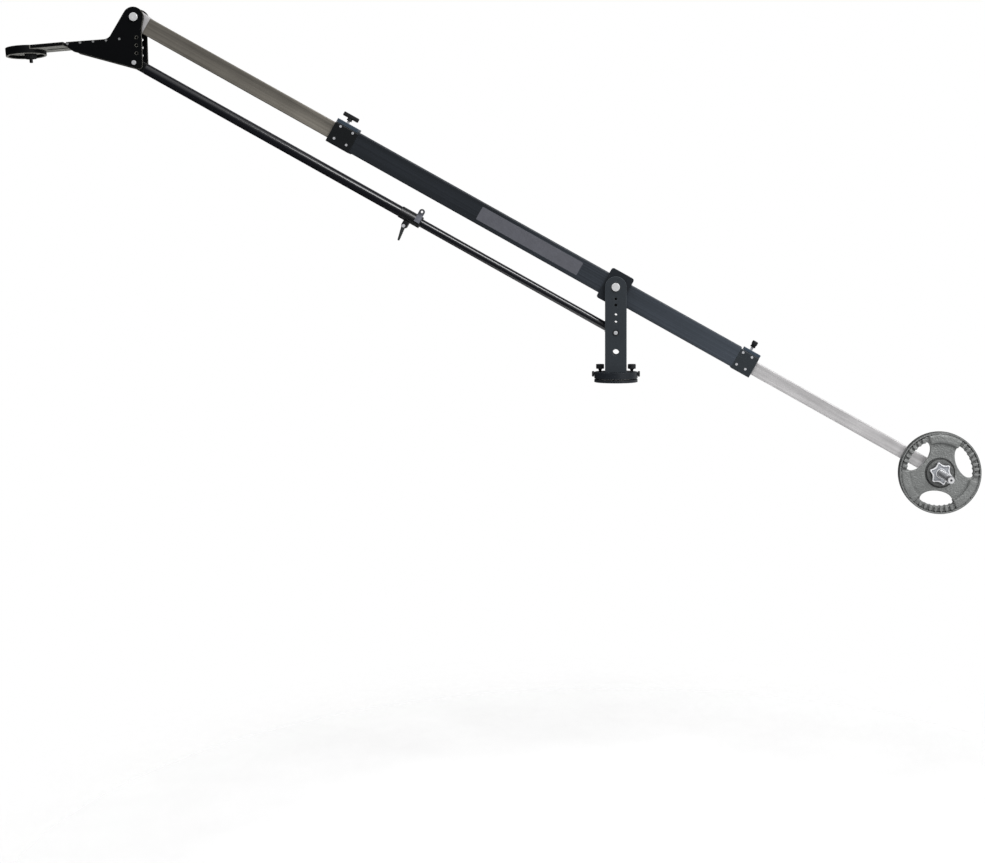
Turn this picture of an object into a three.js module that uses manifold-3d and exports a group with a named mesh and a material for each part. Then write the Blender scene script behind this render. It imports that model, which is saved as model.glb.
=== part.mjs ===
// A camera jib crane: a telescoping arm on a pan base, with a parallel rod that keeps the
// camera head level and a grip weight on the rear tube. Millimetres, +Z up.
// The origin is the centre of the base flange's underside, on the pan axis.
// The arm lies in the XZ plane: the camera head is towards -X, the weight towards +X.
import * as THREE from "three";
import { mergeVertices } from "three/addons/utils/BufferGeometryUtils.js";
import Module from "manifold-3d";

const wasm = await Module();
wasm.setup();

// Clearances between pieces, and how far a cutting tool runs past what it cuts
const SEAT = 0.3;
const RUNNING = 0.3;
const SLIDING = 0.4;
const OVERRUN = 2;

// The arm and the parallelogram that it makes with the rod
const ARM_PITCH = THREE.MathUtils.degToRad(29.25);
const PIVOT_HEIGHT = 275.5;
const LINK_DROP = 131;
const HEAD_REACH = 1592;
const WEIGHT_REACH = 1072.3;
const FRONT_CLAMP_REACH = 862;
const REAR_CLAMP_REACH = 402;
const FRONT_TUBE_INNER_REACH = 540;
const REAR_TUBE_INNER_REACH = 167;

// The main and front tubes hang below the line of the pivots, and the rear tube a little lower
const TUBE_DROP = 5.5;
const REAR_DROP = 4.5;

// Rectangular tubes of the arm
const MAIN_TUBE = { height: 65, width: 50, wall: 4, corner: 4 };
const FRONT_TUBE = { height: 50, width: 38, wall: 3, corner: 3 };
const REAR_TUBE = { height: 40, width: 30, wall: 3, corner: 3, tail: 24 };
const SLIDE_PAD = { length: 60, corner: 2 };

// Base and turntable
const FLANGE = { radius: 63, thick: 8, bolt_circle_radius: 48, bolt_hole_radius: 4.25, bolts: 4 };
const THRUST_WASHER = { radius: 50, thick: 2 };
const TURNTABLE = { radius: 63, thick: 19, lip: 11 };
const SPINDLE = { radius: 15, head_radius: 24, head_thick: 4 };
const FOOT = { length: 52, height: 17 };

// Uprights, cheeks and the main axle
const UPRIGHT = { width: 62, thick: 10, bevel: 2, bevel_depth: 1.2 };
const SIGHT_HOLE = { radius: 9.2, height: 88 };
const ADJUST_HOLE = { radius: 4, heights: [242, 224, 196, 175] };
const CHEEK = { length: 73, height: 97.5, thick: 6, corner: 8, drop: 3.2 };
const SIDE_WASHER = { radius: 20, thick: 3 };
const AXLE = { radius: 8, head_radius: 12, head_thick: 9, recess: 4, recess_radius: 14.6 };
const AXLE_NUT = { radius: 14, thick: 13, sides: 6, thread_end: 3 };
const BUSH = { radius: 12 };

// Clamps at the ends of the main tube
const CLAMP = { width: 52, top: 28.5, foot: -35.5, corner: 4, cap_width: 44 };
const FRONT_CLAMP = { length: 75, knob_from_face: 27.5, cap_thick: 11, cap_setback: 6.5, knob_gap: 7 };
const REAR_CLAMP = { length: 59.5, knob_from_face: 31.2, cap_thick: 8.5, cap_setback: 7.5, knob_gap: 9.5 };
const T_KNOB = { stud_radius: 4, neck_radius: 8, neck_height: 7 };
const T_BAR = { length: 49, height: 12.6, thick: 14 };

// Parallel rod, its clamp collar and its pivots
const REAR_ROD = { radius: 12, wall: 2, inner_reach: 1040 };
const FRONT_ROD = { radius: 15.5, wall: 2.5 };
const ROD_EYE = { radius: 14.5, half_width: 12, neck: 30, spigot: 22 };
const ROD_PIN = { radius: 5, head_radius: 9, head_thick: 4 };
const COLLAR = { reach: 682, length: 67, radius: 17.5 };
const COLLAR_LUG = { from_end: 20, length: 18, width: 18, drop: 38 };
const EAR = { thick: 4, half_width: 8.5, rise: 30, hole_radius: 3.5, from_end: 10, drop: 4 };
const CLAMP_BOLT = { radius: 3, head_radius: 6.5, head_thick: 4, drop: 31.5 };
const LEVER = { length: 42, thick: 7, hub_radius: 6, tip_radius: 3, tilt: THREE.MathUtils.degToRad(9) };

// Head that carries the camera platform
const LUG = { half_width: 18.5, radius: 25, neck: 41, spigot: 42, spigot_wall_gap: 0.5 };
const HEAD_WASHER = { radius: 16, thick: 2.4 };
const HEAD_PLATE = { thick: 6, crown_radius: 30.3, crown_forward: 2.5, crown_sink: 0.3 };
const HEAD_PIN = { radius: 8, head_radius: 12.2, head_thick: 6 };
const HEAD_ROD_PIN = { radius: 5, head_radius: 6.5, head_thick: 3.5 };
const HEAD_HOLE = { radius: 4, pitch: 22.6, back: 7.2, first_drop: 58.7, count: 3 };
const PLATFORM = { tilt: THREE.MathUtils.degToRad(4.8), thick: 11, drop: 56.8, nose_half_width: 46.5 };
const PLATFORM_SPAN = { nose_to: 203, tongue_to: 34 };
const PLATFORM_SLOT = { half_width: 6.5, from: 258, to: 78 };
const STUD_SLOT = { half_width: 5.5, half_length: 22 };
const RING = { radius: 56, height: 24, forward: 326, recess_depth: 10, recess_radius: 49 };
const CAMERA_KNOB = { radius: 17, thick: 18.5, stud_radius: 4.7, stud_length: 12, back: 12.5 };
const STAND_OFF = { radius: 7, back: 60, drop: 114 };

// Weight, its bar and its collars
const WEIGHT_BAR = { radius: 11.5, near_end: 203, far_end: 120, chamfer: 2.5, centre_hole_radius: 3 };
const BAR_RING = { radius: 21, thick: 10, face_gap: 0.4 };
const WEIGHT = { radius: 118.5, rim_width: 20, rim_thick: 27, web_thick: 14, hub_radius: 40 };
const WEIGHT_HUB = { groove: 2.5, groove_depth: 3, face_gap: 0.6 };
const GRIP = { outer_radius: 96.5, inner_radius: 52.5, corner_radius: 91, half_angle: 30, first: 23 };
const GRIP_CURVE = { count: 3, steps: 7, bulge_power: 4, corner_inset: 2 };
const RIM_PAD = { inner_radius: 86, outer_radius: 115, half_angle: 27, first: 81.5, rise: 3.5 };
const STAR = { point_radius: 32.5, valley_radius: 25, thick: 9, points: 6, first: 43 };
const STAR_CURVE = { steps: 10, tip_share: 0.1 };
const STAR_BOSS = { radius: 18, length: 3 };

// Hand knobs on the base
const HOLD_KNOB = { radius: 11.8, height: 13.6, rise: 8.4, reach: 46, neck_radius: 6, stem_radius: 3 };
const PAN_KNOB = { radius: 8.2, thick: 6.4, height: 23.5, stem_radius: 3, depth: 12 };

const HALF = 1 / 2;
const DOUBLE = 2;
const FULL_CIRCLE = 360;
const MERGE_WITHIN = 1e-4;
const ROUND_SIDES = 20;
const SMALL_SIDES = 12;
const ARC_STEPS = 6;
const LARGE_SIDES = 48;

// Heights and lateral places that follow from the sizes above
const WASHER_FOOT = FLANGE.thick + SEAT;
const TURNTABLE_FOOT = WASHER_FOOT + THRUST_WASHER.thick + SEAT;
const TURNTABLE_TOP = TURNTABLE_FOOT + TURNTABLE.thick;
const UPRIGHT_FOOT = TURNTABLE_TOP + SEAT;
const ROD_PIVOT_HEIGHT = PIVOT_HEIGHT - LINK_DROP;
const TUBE_FACE = MAIN_TUBE.width * HALF;
const CHEEK_INNER = TUBE_FACE + SEAT;
const CHEEK_OUTER = CHEEK_INNER + CHEEK.thick;
const SIDE_WASHER_INNER = CHEEK_OUTER + SEAT;
const UPRIGHT_INNER = SIDE_WASHER_INNER + SIDE_WASHER.thick + SEAT;
const UPRIGHT_OUTER = UPRIGHT_INNER + UPRIGHT.thick;
const HEAD_WASHER_INNER = LUG.half_width + SEAT;
const HEAD_INNER = HEAD_WASHER_INNER + HEAD_WASHER.thick + SEAT;
const HEAD_OUTER = HEAD_INNER + HEAD_PLATE.thick;
const BAR_RING_INNER = REAR_TUBE.width * HALF + BAR_RING.face_gap;
const WEIGHT_INNER = BAR_RING_INNER + BAR_RING.thick + WEIGHT_HUB.face_gap;
const WEIGHT_OUTER = WEIGHT_INNER + WEIGHT.rim_thick;

// Materials
function paint(colour, roughness, metalness) {
  return new THREE.MeshStandardMaterial({ color: colour, roughness, metalness });
}
const DARK_ANODISED = paint(0x25292f, 0.42, 0.55);
const UPRIGHT_FINISH = paint(0x33373c, 0.5, 0.45);
const BLACK_PAINT = paint(0x101214, 0.4, 0.2);
const MILL_ALUMINIUM = paint(0x989189, 0.38, 0.85);
const PALE_ALUMINIUM = paint(0xc6c4c0, 0.3, 0.9);
const BLACK_TUBE = paint(0x202226, 0.28, 0.6);
const CAST_GREY = paint(0x6e7375, 0.55, 0.5);
const BRIGHT_STEEL = paint(0xd8d8da, 0.18, 1);
const PLATED_STEEL = paint(0xb9babc, 0.3, 1);
const BLACK_PLASTIC = paint(0x141516, 0.6, 0);
const NYLON = paint(0xd9d6cc, 0.7, 0);

// Solids from geometry and back
function solidOf(geometry) {
  const plain = geometry.clone();
  plain.deleteAttribute("normal");
  plain.deleteAttribute("uv");
  const merged = mergeVertices(plain, MERGE_WITHIN);
  const triVerts = new Uint32Array(merged.index.array);
  const vertProperties = merged.attributes.position.array;
  return new wasm.Manifold(new wasm.Mesh({ numProp: 3, vertProperties, triVerts }));
}

function geometryOf(solid) {
  const mesh = solid.getMesh();
  const geometry = new THREE.BufferGeometry();
  geometry.setAttribute("position", new THREE.BufferAttribute(mesh.vertProperties, mesh.numProp));
  geometry.setIndex(new THREE.BufferAttribute(mesh.triVerts, 1));
  const flat = geometry.toNonIndexed();
  flat.computeVertexNormals();
  return flat;
}

function cut(geometry, tools) {
  return geometryOf(tools.reduce((body, tool) => body.subtract(solidOf(tool)), solidOf(geometry)));
}

function join(geometries) {
  return geometryOf(geometries.map(solidOf).reduce((body, extra) => body.add(extra)));
}

// Basic forms, each between two places on an axis
const ALONG = { x: [0, 0, -1], y: [0, 0, 0], z: [1, 0, 0] };

function cone(axis, startRadius, endRadius, start, end, sides = ROUND_SIDES) {
  const geometry = new THREE.CylinderGeometry(endRadius, startRadius, end - start, sides);
  geometry.translate(0, (start + end) * HALF, 0);
  const [turnX, , turnZ] = ALONG[axis];
  geometry.rotateX(turnX * Math.PI * HALF);
  geometry.rotateZ(turnZ * Math.PI * HALF);
  return geometry;
}

function cylinder(axis, radius, start, end, sides = ROUND_SIDES) {
  return cone(axis, radius, radius, start, end, sides);
}

function pipe(axis, outer, inner, start, end, sides = ROUND_SIDES) {
  const bore = cylinder(axis, inner, start - OVERRUN, end + OVERRUN, sides);
  return cut(cylinder(axis, outer, start, end, sides), [bore]);
}

function block(low, high) {
  const [x, y, z] = high.map((value, i) => value - low[i]);
  const geometry = new THREE.BoxGeometry(x, y, z);
  return geometry.translate(...high.map((value, i) => (value + low[i]) * HALF));
}

function at(geometry, x, y, z) {
  return geometry.translate(x, y, z);
}

// A shape drawn in X and Z, made solid between two places along Y
function acrossY(shape, fromY, toY, curveSegments = ARC_STEPS) {
  const geometry = new THREE.ExtrudeGeometry(shape, {
    depth: toY - fromY,
    bevelEnabled: false,
    curveSegments,
  });
  geometry.rotateX(Math.PI * HALF);
  return geometry.translate(0, toY, 0);
}

// The same with both outer edges bevelled, for a plate without holes
function bevelledAcrossY(shape, fromY, toY, bevel, depth) {
  const geometry = new THREE.ExtrudeGeometry(shape, {
    depth: toY - fromY - depth * DOUBLE,
    bevelThickness: depth,
    bevelSize: bevel,
    bevelOffset: -bevel,
    bevelSegments: 1,
    curveSegments: ARC_STEPS,
  });
  geometry.rotateX(Math.PI * HALF);
  return geometry.translate(0, toY - depth, 0);
}

// A shape drawn in Y and Z, made solid between two places along X
function alongX(shape, fromX, toX) {
  const geometry = new THREE.ExtrudeGeometry(shape, { depth: toX - fromX, bevelEnabled: false });
  const basis = new THREE.Matrix4().makeBasis(
    new THREE.Vector3(0, 1, 0),
    new THREE.Vector3(0, 0, 1),
    new THREE.Vector3(1, 0, 0),
  );
  return geometry.applyMatrix4(basis).translate(fromX, 0, 0);
}

// A shape drawn in X and Y, made solid between two heights
function upZ(shape, fromZ, toZ, curveSegments = ARC_STEPS) {
  const geometry = new THREE.ExtrudeGeometry(shape, {
    depth: toZ - fromZ,
    bevelEnabled: false,
    curveSegments,
  });
  return geometry.translate(0, 0, fromZ);
}

function cornered(path, halfWidth, low, high, corner) {
  path.moveTo(-halfWidth + corner, low);
  path.lineTo(halfWidth - corner, low);
  path.lineTo(halfWidth, low + corner);
  path.lineTo(halfWidth, high - corner);
  path.lineTo(halfWidth - corner, high);
  path.lineTo(-halfWidth + corner, high);
  path.lineTo(-halfWidth, high - corner);
  path.lineTo(-halfWidth, low + corner);
  path.closePath();
  return path;
}

function rounded(path, halfWidth, halfHeight, radius) {
  path.moveTo(-halfWidth + radius, -halfHeight);
  path.lineTo(halfWidth - radius, -halfHeight);
  path.absarc(halfWidth - radius, -halfHeight + radius, radius, -Math.PI * HALF, 0, false);
  path.lineTo(halfWidth, halfHeight - radius);
  path.absarc(halfWidth - radius, halfHeight - radius, radius, 0, Math.PI * HALF, false);
  path.lineTo(-halfWidth + radius, halfHeight);
  path.absarc(-halfWidth + radius, halfHeight - radius, radius, Math.PI * HALF, Math.PI, false);
  path.lineTo(-halfWidth, -halfHeight + radius);
  path.absarc(-halfWidth + radius, -halfHeight + radius, radius, Math.PI, Math.PI * (1 + HALF), false);
  return path;
}

function boxTube(tube, fromX, toX) {
  const [halfWidth, halfHeight] = [tube.width * HALF, tube.height * HALF];
  const shape = cornered(new THREE.Shape(), halfWidth, -halfHeight, halfHeight, tube.corner);
  const inner = halfHeight - tube.wall;
  shape.holes.push(cornered(new THREE.Path(), halfWidth - tube.wall, -inner, inner, tube.corner * HALF));
  return alongX(shape, fromX, toX);
}

// Groups that carry the pieces: a mesh is added to its group under its node's name
const crane = new THREE.Group();
const panGroup = new THREE.Group();
const armGroup = new THREE.Group();
const rodGroup = new THREE.Group();
const headGroup = new THREE.Group();
const platformGroup = new THREE.Group();
const weightGroup = new THREE.Group();
const tubeGroup = new THREE.Group();
const rearGroup = new THREE.Group();
crane.add(panGroup, armGroup, rodGroup, headGroup);
headGroup.add(platformGroup);
armGroup.add(tubeGroup);
tubeGroup.add(rearGroup);
rearGroup.add(weightGroup);
tubeGroup.position.set(0, 0, -TUBE_DROP);
rearGroup.position.set(0, 0, -REAR_DROP);
armGroup.position.set(0, 0, PIVOT_HEIGHT);
armGroup.rotation.y = ARM_PITCH;
rodGroup.position.set(0, 0, ROD_PIVOT_HEIGHT);
rodGroup.rotation.y = ARM_PITCH;
headGroup.position.set(
  -HEAD_REACH * Math.cos(ARM_PITCH),
  0,
  PIVOT_HEIGHT + HEAD_REACH * Math.sin(ARM_PITCH),
);
weightGroup.position.set(WEIGHT_REACH, 0, 0);
weightGroup.rotation.y = -ARM_PITCH;
platformGroup.position.set(0, 0, -PLATFORM.drop);
platformGroup.rotation.y = -PLATFORM.tilt;

function place(group, name, geometry, material) {
  const mesh = new THREE.Mesh(geometry, material);
  mesh.name = name;
  group.add(mesh);
}

// Base flange with its bolt holes, and the spindle and washer that the turntable runs on
function buildBase() {
  const holes = [];
  for (let i = 0; i < FLANGE.bolts; i += 1) {
    const angle = ((i + HALF) * Math.PI * DOUBLE) / FLANGE.bolts;
    const hole = cylinder("z", FLANGE.bolt_hole_radius, -OVERRUN, FLANGE.thick + OVERRUN, SMALL_SIDES);
    const reach = FLANGE.bolt_circle_radius;
    holes.push(at(hole, reach * Math.cos(angle), reach * Math.sin(angle), 0));
  }
  const flange = cylinder("z", FLANGE.radius, 0, FLANGE.thick, LARGE_SIDES);
  place(crane, "base_flange", cut(flange, holes), DARK_ANODISED);

  const shoulder = TURNTABLE_FOOT + TURNTABLE.lip + SEAT;
  const shaft = cylinder("z", SPINDLE.radius, WASHER_FOOT, shoulder + SPINDLE.head_thick);
  const head = cylinder("z", SPINDLE.head_radius, shoulder, shoulder + SPINDLE.head_thick);
  place(crane, "pan_spindle", join([shaft, head]), PLATED_STEEL);

  const washerBore = SPINDLE.radius + RUNNING;
  const washerTop = WASHER_FOOT + THRUST_WASHER.thick;
  const washer = pipe("z", THRUST_WASHER.radius, washerBore, WASHER_FOOT, washerTop, LARGE_SIDES);
  place(crane, "pan_thrust_washer", washer, NYLON);
}

// Turntable with its counterbore, the stem holes of its knobs, and the block that spaces the uprights
function buildTurntable() {
  const counterbore = TURNTABLE_FOOT + TURNTABLE.lip;
  const tools = [
    cylinder("z", SPINDLE.radius + RUNNING, TURNTABLE_FOOT - OVERRUN, TURNTABLE_TOP + OVERRUN),
    cylinder("z", SPINDLE.head_radius + RUNNING, counterbore, TURNTABLE_TOP + OVERRUN),
  ];
  for (const side of [-1, 1]) {
    const stemHole = HOLD_KNOB.stem_radius + RUNNING;
    const drop = TURNTABLE_TOP - HOLD_KNOB.height;
    const hole = cylinder("z", stemHole, drop, TURNTABLE_TOP + OVERRUN, SMALL_SIDES);
    tools.push(at(hole, side * HOLD_KNOB.reach, 0, 0));
    const outer = TURNTABLE.radius + OVERRUN;
    const inner = TURNTABLE.radius - PAN_KNOB.depth - RUNNING;
    const ends = side < 0 ? [-outer, -inner] : [inner, outer];
    const stem = cylinder("x", PAN_KNOB.stem_radius + RUNNING, ...ends, SMALL_SIDES);
    tools.push(at(stem, 0, 0, PAN_KNOB.height));
  }
  const disc = cylinder("z", TURNTABLE.radius, TURNTABLE_FOOT, TURNTABLE_TOP, LARGE_SIDES);
  place(panGroup, "turntable", cut(disc, tools), DARK_ANODISED);

  const half = FOOT.length * HALF;
  const reach = UPRIGHT_INNER - SEAT;
  const foot = block([-half, -reach, UPRIGHT_FOOT], [half, reach, UPRIGHT_FOOT + FOOT.height]);
  place(panGroup, "foot_block", foot, DARK_ANODISED);
}

// One upright: a plate with a round top about the main axle and a row of holes
function uprightOutline() {
  const half = UPRIGHT.width * HALF;
  const shape = new THREE.Shape();
  shape.moveTo(-half, UPRIGHT_FOOT);
  shape.lineTo(half, UPRIGHT_FOOT);
  shape.lineTo(half, PIVOT_HEIGHT);
  shape.absarc(0, PIVOT_HEIGHT, half, 0, Math.PI, false);
  shape.closePath();
  return shape;
}

function buildUpright(name, side) {
  const fromY = side < 0 ? -UPRIGHT_OUTER : UPRIGHT_INNER;
  const toY = fromY + UPRIGHT.thick;
  const plate = bevelledAcrossY(uprightOutline(), fromY, toY, UPRIGHT.bevel, UPRIGHT.bevel_depth);
  const bores = [
    [AXLE.radius + RUNNING, PIVOT_HEIGHT],
    [ROD_PIN.radius + RUNNING, ROD_PIVOT_HEIGHT],
    [SIGHT_HOLE.radius, SIGHT_HOLE.height],
    ...ADJUST_HOLE.heights.map((height) => [ADJUST_HOLE.radius, height]),
  ];
  const ends = [fromY - OVERRUN, toY + OVERRUN];
  const drill = ([radius, height]) => at(cylinder("y", radius, ...ends, SMALL_SIDES), 0, 0, height);
  const tools = bores.map(drill);
  if (side < 0) {
    const recess = cylinder("y", AXLE.recess_radius, fromY - OVERRUN, fromY + AXLE.recess);
    tools.push(at(recess, 0, 0, PIVOT_HEIGHT));
  }
  place(panGroup, name, cut(plate, tools), UPRIGHT_FINISH);
}

// Main axle with its round head in the near upright, and its nut on the far one
function buildAxle() {
  const headSeat = -UPRIGHT_OUTER + AXLE.recess - SEAT;
  const nutInner = UPRIGHT_OUTER + SEAT;
  const nutOuter = nutInner + AXLE_NUT.thick;
  const shaft = cylinder("y", AXLE.radius, headSeat - AXLE.head_thick, nutOuter + AXLE_NUT.thread_end);
  const head = cylinder("y", AXLE.head_radius, headSeat - AXLE.head_thick, headSeat);
  place(panGroup, "main_axle", at(join([shaft, head]), 0, 0, PIVOT_HEIGHT), BRIGHT_STEEL);

  const hexagon = cylinder("y", AXLE_NUT.radius, nutInner, nutOuter, AXLE_NUT.sides);
  const bore = cylinder("y", AXLE.radius + RUNNING, nutInner - OVERRUN, nutOuter + OVERRUN);
  place(panGroup, "axle_nut", at(cut(hexagon, [bore]), 0, 0, PIVOT_HEIGHT), PLATED_STEEL);
}

// Pin of the rod's lower pivot, with a spacer on each side of the rod's eye
function buildRodPin() {
  const headInner = UPRIGHT_OUTER + SEAT;
  const headOuter = headInner + ROD_PIN.head_thick;
  const shaft = cylinder("y", ROD_PIN.radius, -headOuter, headOuter, SMALL_SIDES);
  const near = cylinder("y", ROD_PIN.head_radius, -headOuter, -headInner, SMALL_SIDES);
  const far = cylinder("y", ROD_PIN.head_radius, headInner, headOuter, SMALL_SIDES);
  const pin = at(join([shaft, near, far]), 0, 0, ROD_PIVOT_HEIGHT);
  place(panGroup, "rod_pivot_pin", pin, PLATED_STEEL);

  const spacerEnds = [ROD_EYE.half_width + SEAT, UPRIGHT_INNER - SEAT];
  const bore = ROD_PIN.radius + RUNNING;
  const farSpacer = pipe("y", ROD_PIN.head_radius, bore, ...spacerEnds, SMALL_SIDES);
  const nearSpacer = pipe("y", ROD_PIN.head_radius, bore, -spacerEnds[1], -spacerEnds[0], SMALL_SIDES);
  place(panGroup, "rod_spacer_near", at(nearSpacer, 0, 0, ROD_PIVOT_HEIGHT), NYLON);
  place(panGroup, "rod_spacer_far", at(farSpacer, 0, 0, ROD_PIVOT_HEIGHT), NYLON);
}

// A knob that holds the turntable down: a stem in the turntable, a tapered neck and a round grip
function buildHoldKnob(name, side) {
  const foot = UPRIGHT_FOOT;
  const neckTop = foot + HOLD_KNOB.rise;
  const stemEnd = TURNTABLE_TOP - HOLD_KNOB.height + RUNNING;
  const knob = join([
    cylinder("z", HOLD_KNOB.stem_radius, stemEnd, neckTop, SMALL_SIDES),
    cone("z", HOLD_KNOB.stem_radius, HOLD_KNOB.neck_radius, foot, neckTop, SMALL_SIDES),
    cylinder("z", HOLD_KNOB.radius, neckTop, neckTop + HOLD_KNOB.height, SMALL_SIDES),
  ]);
  place(panGroup, name, at(knob, side * HOLD_KNOB.reach, 0, 0), BLACK_PLASTIC);
}

// A knob on the turntable's rim that locks the pan or sets its drag
function buildPanKnob(name, side) {
  const face = TURNTABLE.radius + SEAT;
  const end = TURNTABLE.radius - PAN_KNOB.depth;
  const grip = side < 0 ? [-face - PAN_KNOB.thick, -face] : [face, face + PAN_KNOB.thick];
  const stem = side < 0 ? [-face, -end] : [end, face];
  const knob = join([
    cylinder("x", PAN_KNOB.radius, ...grip, SMALL_SIDES),
    cylinder("x", PAN_KNOB.stem_radius, ...stem, SMALL_SIDES),
  ]);
  place(panGroup, name, at(knob, 0, 0, PAN_KNOB.height), BLACK_PLASTIC);
}

// Main tube, bored across for the bush that the axle turns in
function buildMainTube() {
  const bore = cylinder("y", BUSH.radius + SEAT, -MAIN_TUBE.width, MAIN_TUBE.width);
  at(bore, 0, 0, TUBE_DROP);
  const tube = boxTube(MAIN_TUBE, -FRONT_CLAMP_REACH, REAR_CLAMP_REACH);
  place(tubeGroup, "main_tube", cut(tube, [bore]), DARK_ANODISED);
  const bush = pipe("y", BUSH.radius, AXLE.radius + RUNNING, -CHEEK_OUTER, CHEEK_OUTER);
  place(armGroup, "pivot_bush", bush, NYLON);
}

// Cheek plate that stiffens the tube at the pivot, and the washer outside it
function buildCheek(name, washerName, side) {
  const shape = rounded(new THREE.Shape(), CHEEK.length * HALF, CHEEK.height * HALF, CHEEK.corner);
  const plate = side < 0 ? [-CHEEK_OUTER, -CHEEK_INNER] : [CHEEK_INNER, CHEEK_OUTER];
  const bore = cylinder("y", BUSH.radius + SEAT, plate[0] - OVERRUN, plate[1] + OVERRUN);
  const cheek = at(acrossY(shape, ...plate), 0, 0, -CHEEK.drop);
  place(armGroup, name, cut(cheek, [bore]), DARK_ANODISED);

  const washerOuter = SIDE_WASHER_INNER + SIDE_WASHER.thick;
  const ends = side < 0 ? [-washerOuter, -SIDE_WASHER_INNER] : [SIDE_WASHER_INNER, washerOuter];
  place(armGroup, washerName, pipe("y", SIDE_WASHER.radius, AXLE.radius + RUNNING, ...ends), NYLON);
}

// Clamp block at one end of the main tube, with its cap plate
function buildClamp(name, capName, span, clamp, inner, drop) {
  const [fromX, toX, knobX] = span.block;
  const shape = cornered(new THREE.Shape(), CLAMP.width * HALF, CLAMP.foot, CLAMP.top, CLAMP.corner);
  const bore = inner.height * HALF + SLIDING;
  const boreWidth = inner.width * HALF + SLIDING;
  shape.holes.push(cornered(new THREE.Path(), boreWidth, -bore - drop, bore - drop, inner.corner));
  const top = CLAMP.top + SEAT + clamp.cap_thick;
  const stud = cylinder("z", T_KNOB.stud_radius + RUNNING, 0, top + OVERRUN, SMALL_SIDES);
  at(stud, knobX, 0, 0);
  place(tubeGroup, name, cut(alongX(shape, fromX, toX), [stud]), DARK_ANODISED);

  const halfCap = CLAMP.cap_width * HALF;
  const [capFrom, capTo] = span.cap;
  const cap = block([capFrom, -halfCap, CLAMP.top + SEAT], [capTo, halfCap, top]);
  place(tubeGroup, capName, cut(cap, [stud]), DARK_ANODISED);
}

// T-shaped knob whose stud goes through the cap and presses on the inner tube
function buildTKnob(name, knobX, clamp, inner, drop, turned) {
  const group = new THREE.Group();
  group.position.set(knobX, 0, 0);
  group.rotation.z = turned ? Math.PI * HALF : 0;
  tubeGroup.add(group);
  const neckFoot = CLAMP.top + SEAT + clamp.cap_thick + clamp.knob_gap;
  const barFoot = neckFoot + T_KNOB.neck_height;
  const shape = rounded(
    new THREE.Shape(),
    T_BAR.length * HALF,
    T_BAR.thick * HALF,
    T_BAR.thick * HALF - SEAT,
  );
  const knob = join([
    cylinder("z", T_KNOB.stud_radius, inner.height * HALF + SEAT - drop, barFoot, SMALL_SIDES),
    cylinder("z", T_KNOB.neck_radius, neckFoot, barFoot, SMALL_SIDES),
    upZ(shape, barFoot, barFoot + T_BAR.height),
  ]);
  place(group, name, knob, BLACK_PLASTIC);
}

// Pad that guides the inner end of a sliding tube in the main tube
function buildSlidePad(name, tube, drop, fromX, toX) {
  const halfWidth = MAIN_TUBE.width * HALF - MAIN_TUBE.wall - SLIDING;
  const half = MAIN_TUBE.height * HALF - MAIN_TUBE.wall - SLIDING;
  const shape = cornered(new THREE.Shape(), halfWidth, -half, half, SLIDE_PAD.corner);
  const bore = tube.height * HALF + SEAT;
  const boreWidth = tube.width * HALF + SEAT;
  shape.holes.push(cornered(new THREE.Path(), boreWidth, -bore - drop, bore - drop, tube.corner));
  place(tubeGroup, name, alongX(shape, fromX, toX), NYLON);
}

// Front sliding tube with the lug that carries the head's pivot
function buildFrontTube() {
  const lugFoot = -HEAD_REACH + LUG.neck;
  const tube = boxTube(FRONT_TUBE, lugFoot + SEAT, -FRONT_TUBE_INNER_REACH);
  place(tubeGroup, "front_tube", tube, MILL_ALUMINIUM);

  const half = FRONT_TUBE.height * HALF;
  const shape = new THREE.Shape();
  shape.moveTo(lugFoot, half);
  shape.lineTo(-HEAD_REACH, TUBE_DROP + LUG.radius);
  shape.absarc(-HEAD_REACH, TUBE_DROP, LUG.radius, Math.PI * HALF, Math.PI * (1 + HALF), false);
  shape.lineTo(lugFoot, -half);
  shape.closePath();
  const inset = FRONT_TUBE.wall + LUG.spigot_wall_gap;
  const reach = half - inset;
  const side = FRONT_TUBE.width * HALF - inset;
  const section = cornered(new THREE.Shape(), side, -reach, reach, FRONT_TUBE.corner);
  const spigot = alongX(section, lugFoot - OVERRUN, lugFoot + LUG.spigot);
  const bore = cylinder("y", HEAD_PIN.radius + RUNNING, -LUG.radius - OVERRUN, LUG.radius + OVERRUN);
  at(bore, -HEAD_REACH, 0, TUBE_DROP);
  const lug = join([acrossY(shape, -LUG.half_width, LUG.half_width), spigot]);
  place(tubeGroup, "front_lug", cut(lug, [bore]), PALE_ALUMINIUM);
}

// Rear sliding tube, bored across for the weight bar, with a plug in its end
function buildRearTube() {
  const end = WEIGHT_REACH + REAR_TUBE.tail;
  const bore = cylinder("y", WEIGHT_BAR.radius + SEAT, -REAR_TUBE.width, REAR_TUBE.width);
  at(bore, WEIGHT_REACH, 0, 0);
  const tube = boxTube(REAR_TUBE, REAR_TUBE_INNER_REACH, end);
  place(rearGroup, "rear_tube", cut(tube, [bore]), PALE_ALUMINIUM);

  const section = (inset) => {
    const high = REAR_TUBE.height * HALF - inset;
    const wide = REAR_TUBE.width * HALF - inset;
    return cornered(new THREE.Shape(), wide, -high, high, REAR_TUBE.corner);
  };
  const neck = WEIGHT_REACH + WEIGHT_BAR.radius + REAR_TUBE.wall;
  const outer = end + REAR_TUBE.wall;
  const endPlug = join([
    alongX(section(REAR_TUBE.wall + SEAT), neck, outer),
    alongX(section(REAR_TUBE.corner * HALF), end + SEAT, outer),
  ]);
  place(rearGroup, "rear_tube_plug", endPlug, BLACK_PLASTIC);
}

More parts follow.
